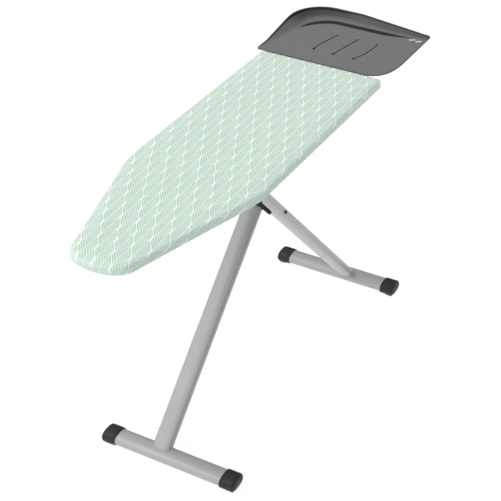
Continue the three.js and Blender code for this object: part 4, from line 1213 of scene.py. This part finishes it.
def tray_painted_shade(x, y, z, to_rim, to_groove):
    """How much painted shade the tray gets at a point: on its walls, in the trench at their foot, along its rim
    and in its grooves.
    """
    climb = wall_climb(x, y)
    back = smooth_step(x, 590 * MM, 690 * MM)
    corner = back * smooth_step(y, 0, 130 * MM)
    # painted shade up the walls, deeper on the back wall and deeper still round its far corner
    value = 0.2 * smooth_step(climb, 0.0, 0.2) + back * (0.3 + 0.2 * corner) * smooth_step(climb, 0.15, 0.6)
    on_wall = smooth_step(climb, 0.25, 0.6)
    # a near-black painted shade band under the walls' top edge, wider round the far corner
    band = (4 + 5 * corner) * MM
    value = max(value, (0.9 + 0.07 * corner) * on_wall * (1 - smooth_step(to_rim, band, band + 4 * MM)))
    # the rolled lip on the walls is eased back to half that shade, a lit edge against the band
    value += (0.5 - value) * on_wall * (1 - smooth_step(to_rim, 1.8 * MM, 3.2 * MM))
    # a thin painted edge shadow along the rim where there is no wall
    edge_shadow = 0.45 * (1 - smooth_step(to_rim, 0.4 * MM, 2 * MM)) * (1 - on_wall)
    # the strongest of these, or the painted shade in the trench at the walls' foot
    value = max(value, edge_shadow, 0.9 * trench_share(x, y))
    # near-black painted shade down in the grooves and their end dots
    if z < REST_FLOOR_Z + rest_height(x, y) - 0.25 * MM and to_groove < 7 * MM:
        value = max(value, 0.97)
    return value


def paint_tray_shade(piece, rim):
    """Stores the tray's painted shade at its points."""
    rim_plan = np.array([[p.x, p.y] for p in rim])
    paths = np.array([[p.x, p.y] for points in REST_GROOVES for p in groove_path(points)])
    painted_shade = []
    for vertex in piece.data.vertices:
        x, y, z = vertex.co
        to_rim = np.hypot(*(rim_plan - (x, y)).T).min()
        to_groove = np.hypot(*(paths - (x, y)).T).min()
        painted_shade.append(tray_painted_shade(x, y, z, to_rim, to_groove))
    # the painted shade goes into a point attribute that the tray's material darkens by
    layer = piece.data.attributes.new("painted_shade", "FLOAT", "POINT")
    layer.data.foreach_set("value", painted_shade)


def build_arms():
    """The two bent tubes that carry the tray, with their saddles."""
    for side in ("left", "right"):
        node = f"rest_arm_{side}"
        low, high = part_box(node)
        y = (low.y + high.y) / 2
        radius = (high.y - low.y) / 2
        bottom, top = low.z + radius, high.z - radius
        bend = (462 * MM, 510 * MM)
        middle = sum(bend) / 2
        path = [Vector((low.x + (bend[0] - low.x) * k / 6, y, bottom)) for k in range(6)]
        path += bezier([(bend[0], y, bottom), (middle, y, bottom), (middle, y, top), (bend[1], y, top)], 20)
        path += [Vector((bend[1] + (high.x - bend[1]) * k / 6, y, top)) for k in range(7)]
        mesh = sweep(node + "_bent", path, radius, 24)
        place_piece(node + "_bent", mesh, "silver_paint", "board", [node])
        for end, x in (("inner", low.x), ("outer", high.x)):
            way = 1 if end == "outer" else -1
            z = top if end == "outer" else bottom
            plug = [(0, 1.6), (4, 1.4), (6.6, 0.6), (7.6, -0.8), (7.6, -3), (0, -3)]
            profile = [(r * MM, way * p * MM) for r, p in plug]
            mesh = lathe(f"arm_plug_{side}_{end}", profile, (x - way * 1.6 * MM, y, z), (1, 0, 0), 28)
            place_piece(f"arm_plug_{side}_{end}", mesh, "black_plastic", "board")
        for number in (1, 2):
            refine(f"arm_saddle_{side}_{number}", "black_plastic", 1.2 * MM, 3)
            refine(f"tray_saddle_{side}_{number}", "black_plastic", 1.2 * MM, 3)


# ---------------------------------------------------------------- stage, lights, camera

SKY_LOW, SKY_HIGH = 0.03, 1.27
LAMPS = (
    ("key", (-1.6, 1.4, 4.6), 3.4, 40),
    ("rim", (3.4, -1.7, 1.2), 2.0, 20),
)


def build_stage():
    """A plain pale floor, soft studio light, and the camera."""
    scene = bpy.context.scene
    bpy.ops.mesh.primitive_plane_add(size=60, location=(0, 0, 0))
    floor = bpy.context.object
    floor.name = "floor"
    s = Shader("pale_floor", Roughness=0.9, Specular_IOR_Level=0.05)
    s.feed("Base Color", s.mix(s.noise(2.0, 2), (0.14, 0.14, 0.14, 1), (0.16, 0.16, 0.16, 1)))
    s.feed("Emission Color", (1, 1, 1, 1))
    s.feed("Emission Strength", 0.9)
    floor.data.materials.append(s.material)

    world = bpy.data.worlds.new("studio")
    scene.world = world
    world.use_nodes = True
    tree = world.node_tree
    shade = tree.nodes["Background"]
    coordinates = tree.nodes.new("ShaderNodeTexCoord")
    facing = tree.nodes.new("ShaderNodeVectorMath")
    facing.operation = "DOT_PRODUCT"
    facing.inputs[1].default_value = Vector((-0.42, 0.38, 0.82)).normalized()
    ramp = tree.nodes.new("ShaderNodeMapRange")
    ramp.interpolation_type = "SMOOTHSTEP"
    for socket, value in (("From Min", -0.12), ("From Max", 0.95), ("To Min", SKY_LOW), ("To Max", SKY_HIGH)):
        ramp.inputs[socket].default_value = value
    tree.links.new(coordinates.outputs["Generated"], facing.inputs[0])
    tree.links.new(facing.outputs["Value"], ramp.inputs["Value"])
    tree.links.new(ramp.outputs["Result"], shade.inputs["Strength"])
    shade.inputs["Color"].default_value = (1, 1, 1, 1)

    for name, place, size, power in LAMPS:
        lamp = bpy.data.lights.new(name, "AREA")
        lamp.shape = "DISK"
        lamp.size = size
        lamp.energy = power
        holder = bpy.data.objects.new(name, lamp)
        scene.collection.objects.link(holder)
        holder.location = place
        aim = Vector((0, 0, 0.6)) - Vector(place)
        holder.rotation_euler = aim.to_track_quat("-Z", "Y").to_euler()

    lens = bpy.data.cameras.new("camera")
    lens.sensor_width = 36
    lens.lens = 98.72
    lens.clip_end = 100
    camera = bpy.data.objects.new("camera", lens)
    scene.collection.objects.link(camera)
    elevation, azimuth, roll = 0.5971, 0.5170, -0.0042
    forward = Vector((math.cos(elevation) * math.cos(azimuth),
                      math.cos(elevation) * math.sin(azimuth), -math.sin(elevation)))
    right = forward.cross(Vector((0, 0, 1))).normalized()
    up = right.cross(forward)
    side = right * math.cos(roll) + up * math.sin(roll)
    top = up * math.cos(roll) - right * math.sin(roll)
    turn = Matrix((side, top, -forward)).transposed().to_4x4()
    camera.matrix_world = Matrix.Translation((-2.9149, -1.6590, 2.7475)) @ turn
    scene.camera = camera
    scene.view_settings.view_transform = "Standard"


# ---------------------------------------------------------------- assembly

build_pad()
build_cover()
build_drawcord()
build_deck()
build_under_deck()
build_lever()
for side_name, foot_place, offset in (("front", FRONT_FOOT_X, LEG_OFFSET), ("rear", REAR_FOOT_X, -LEG_OFFSET)):
    build_leg(side_name, foot_place, offset)
    build_foot(side_name, foot_place, offset)
build_crossing()
build_axle()
build_tray()
build_arms()
build_stage()
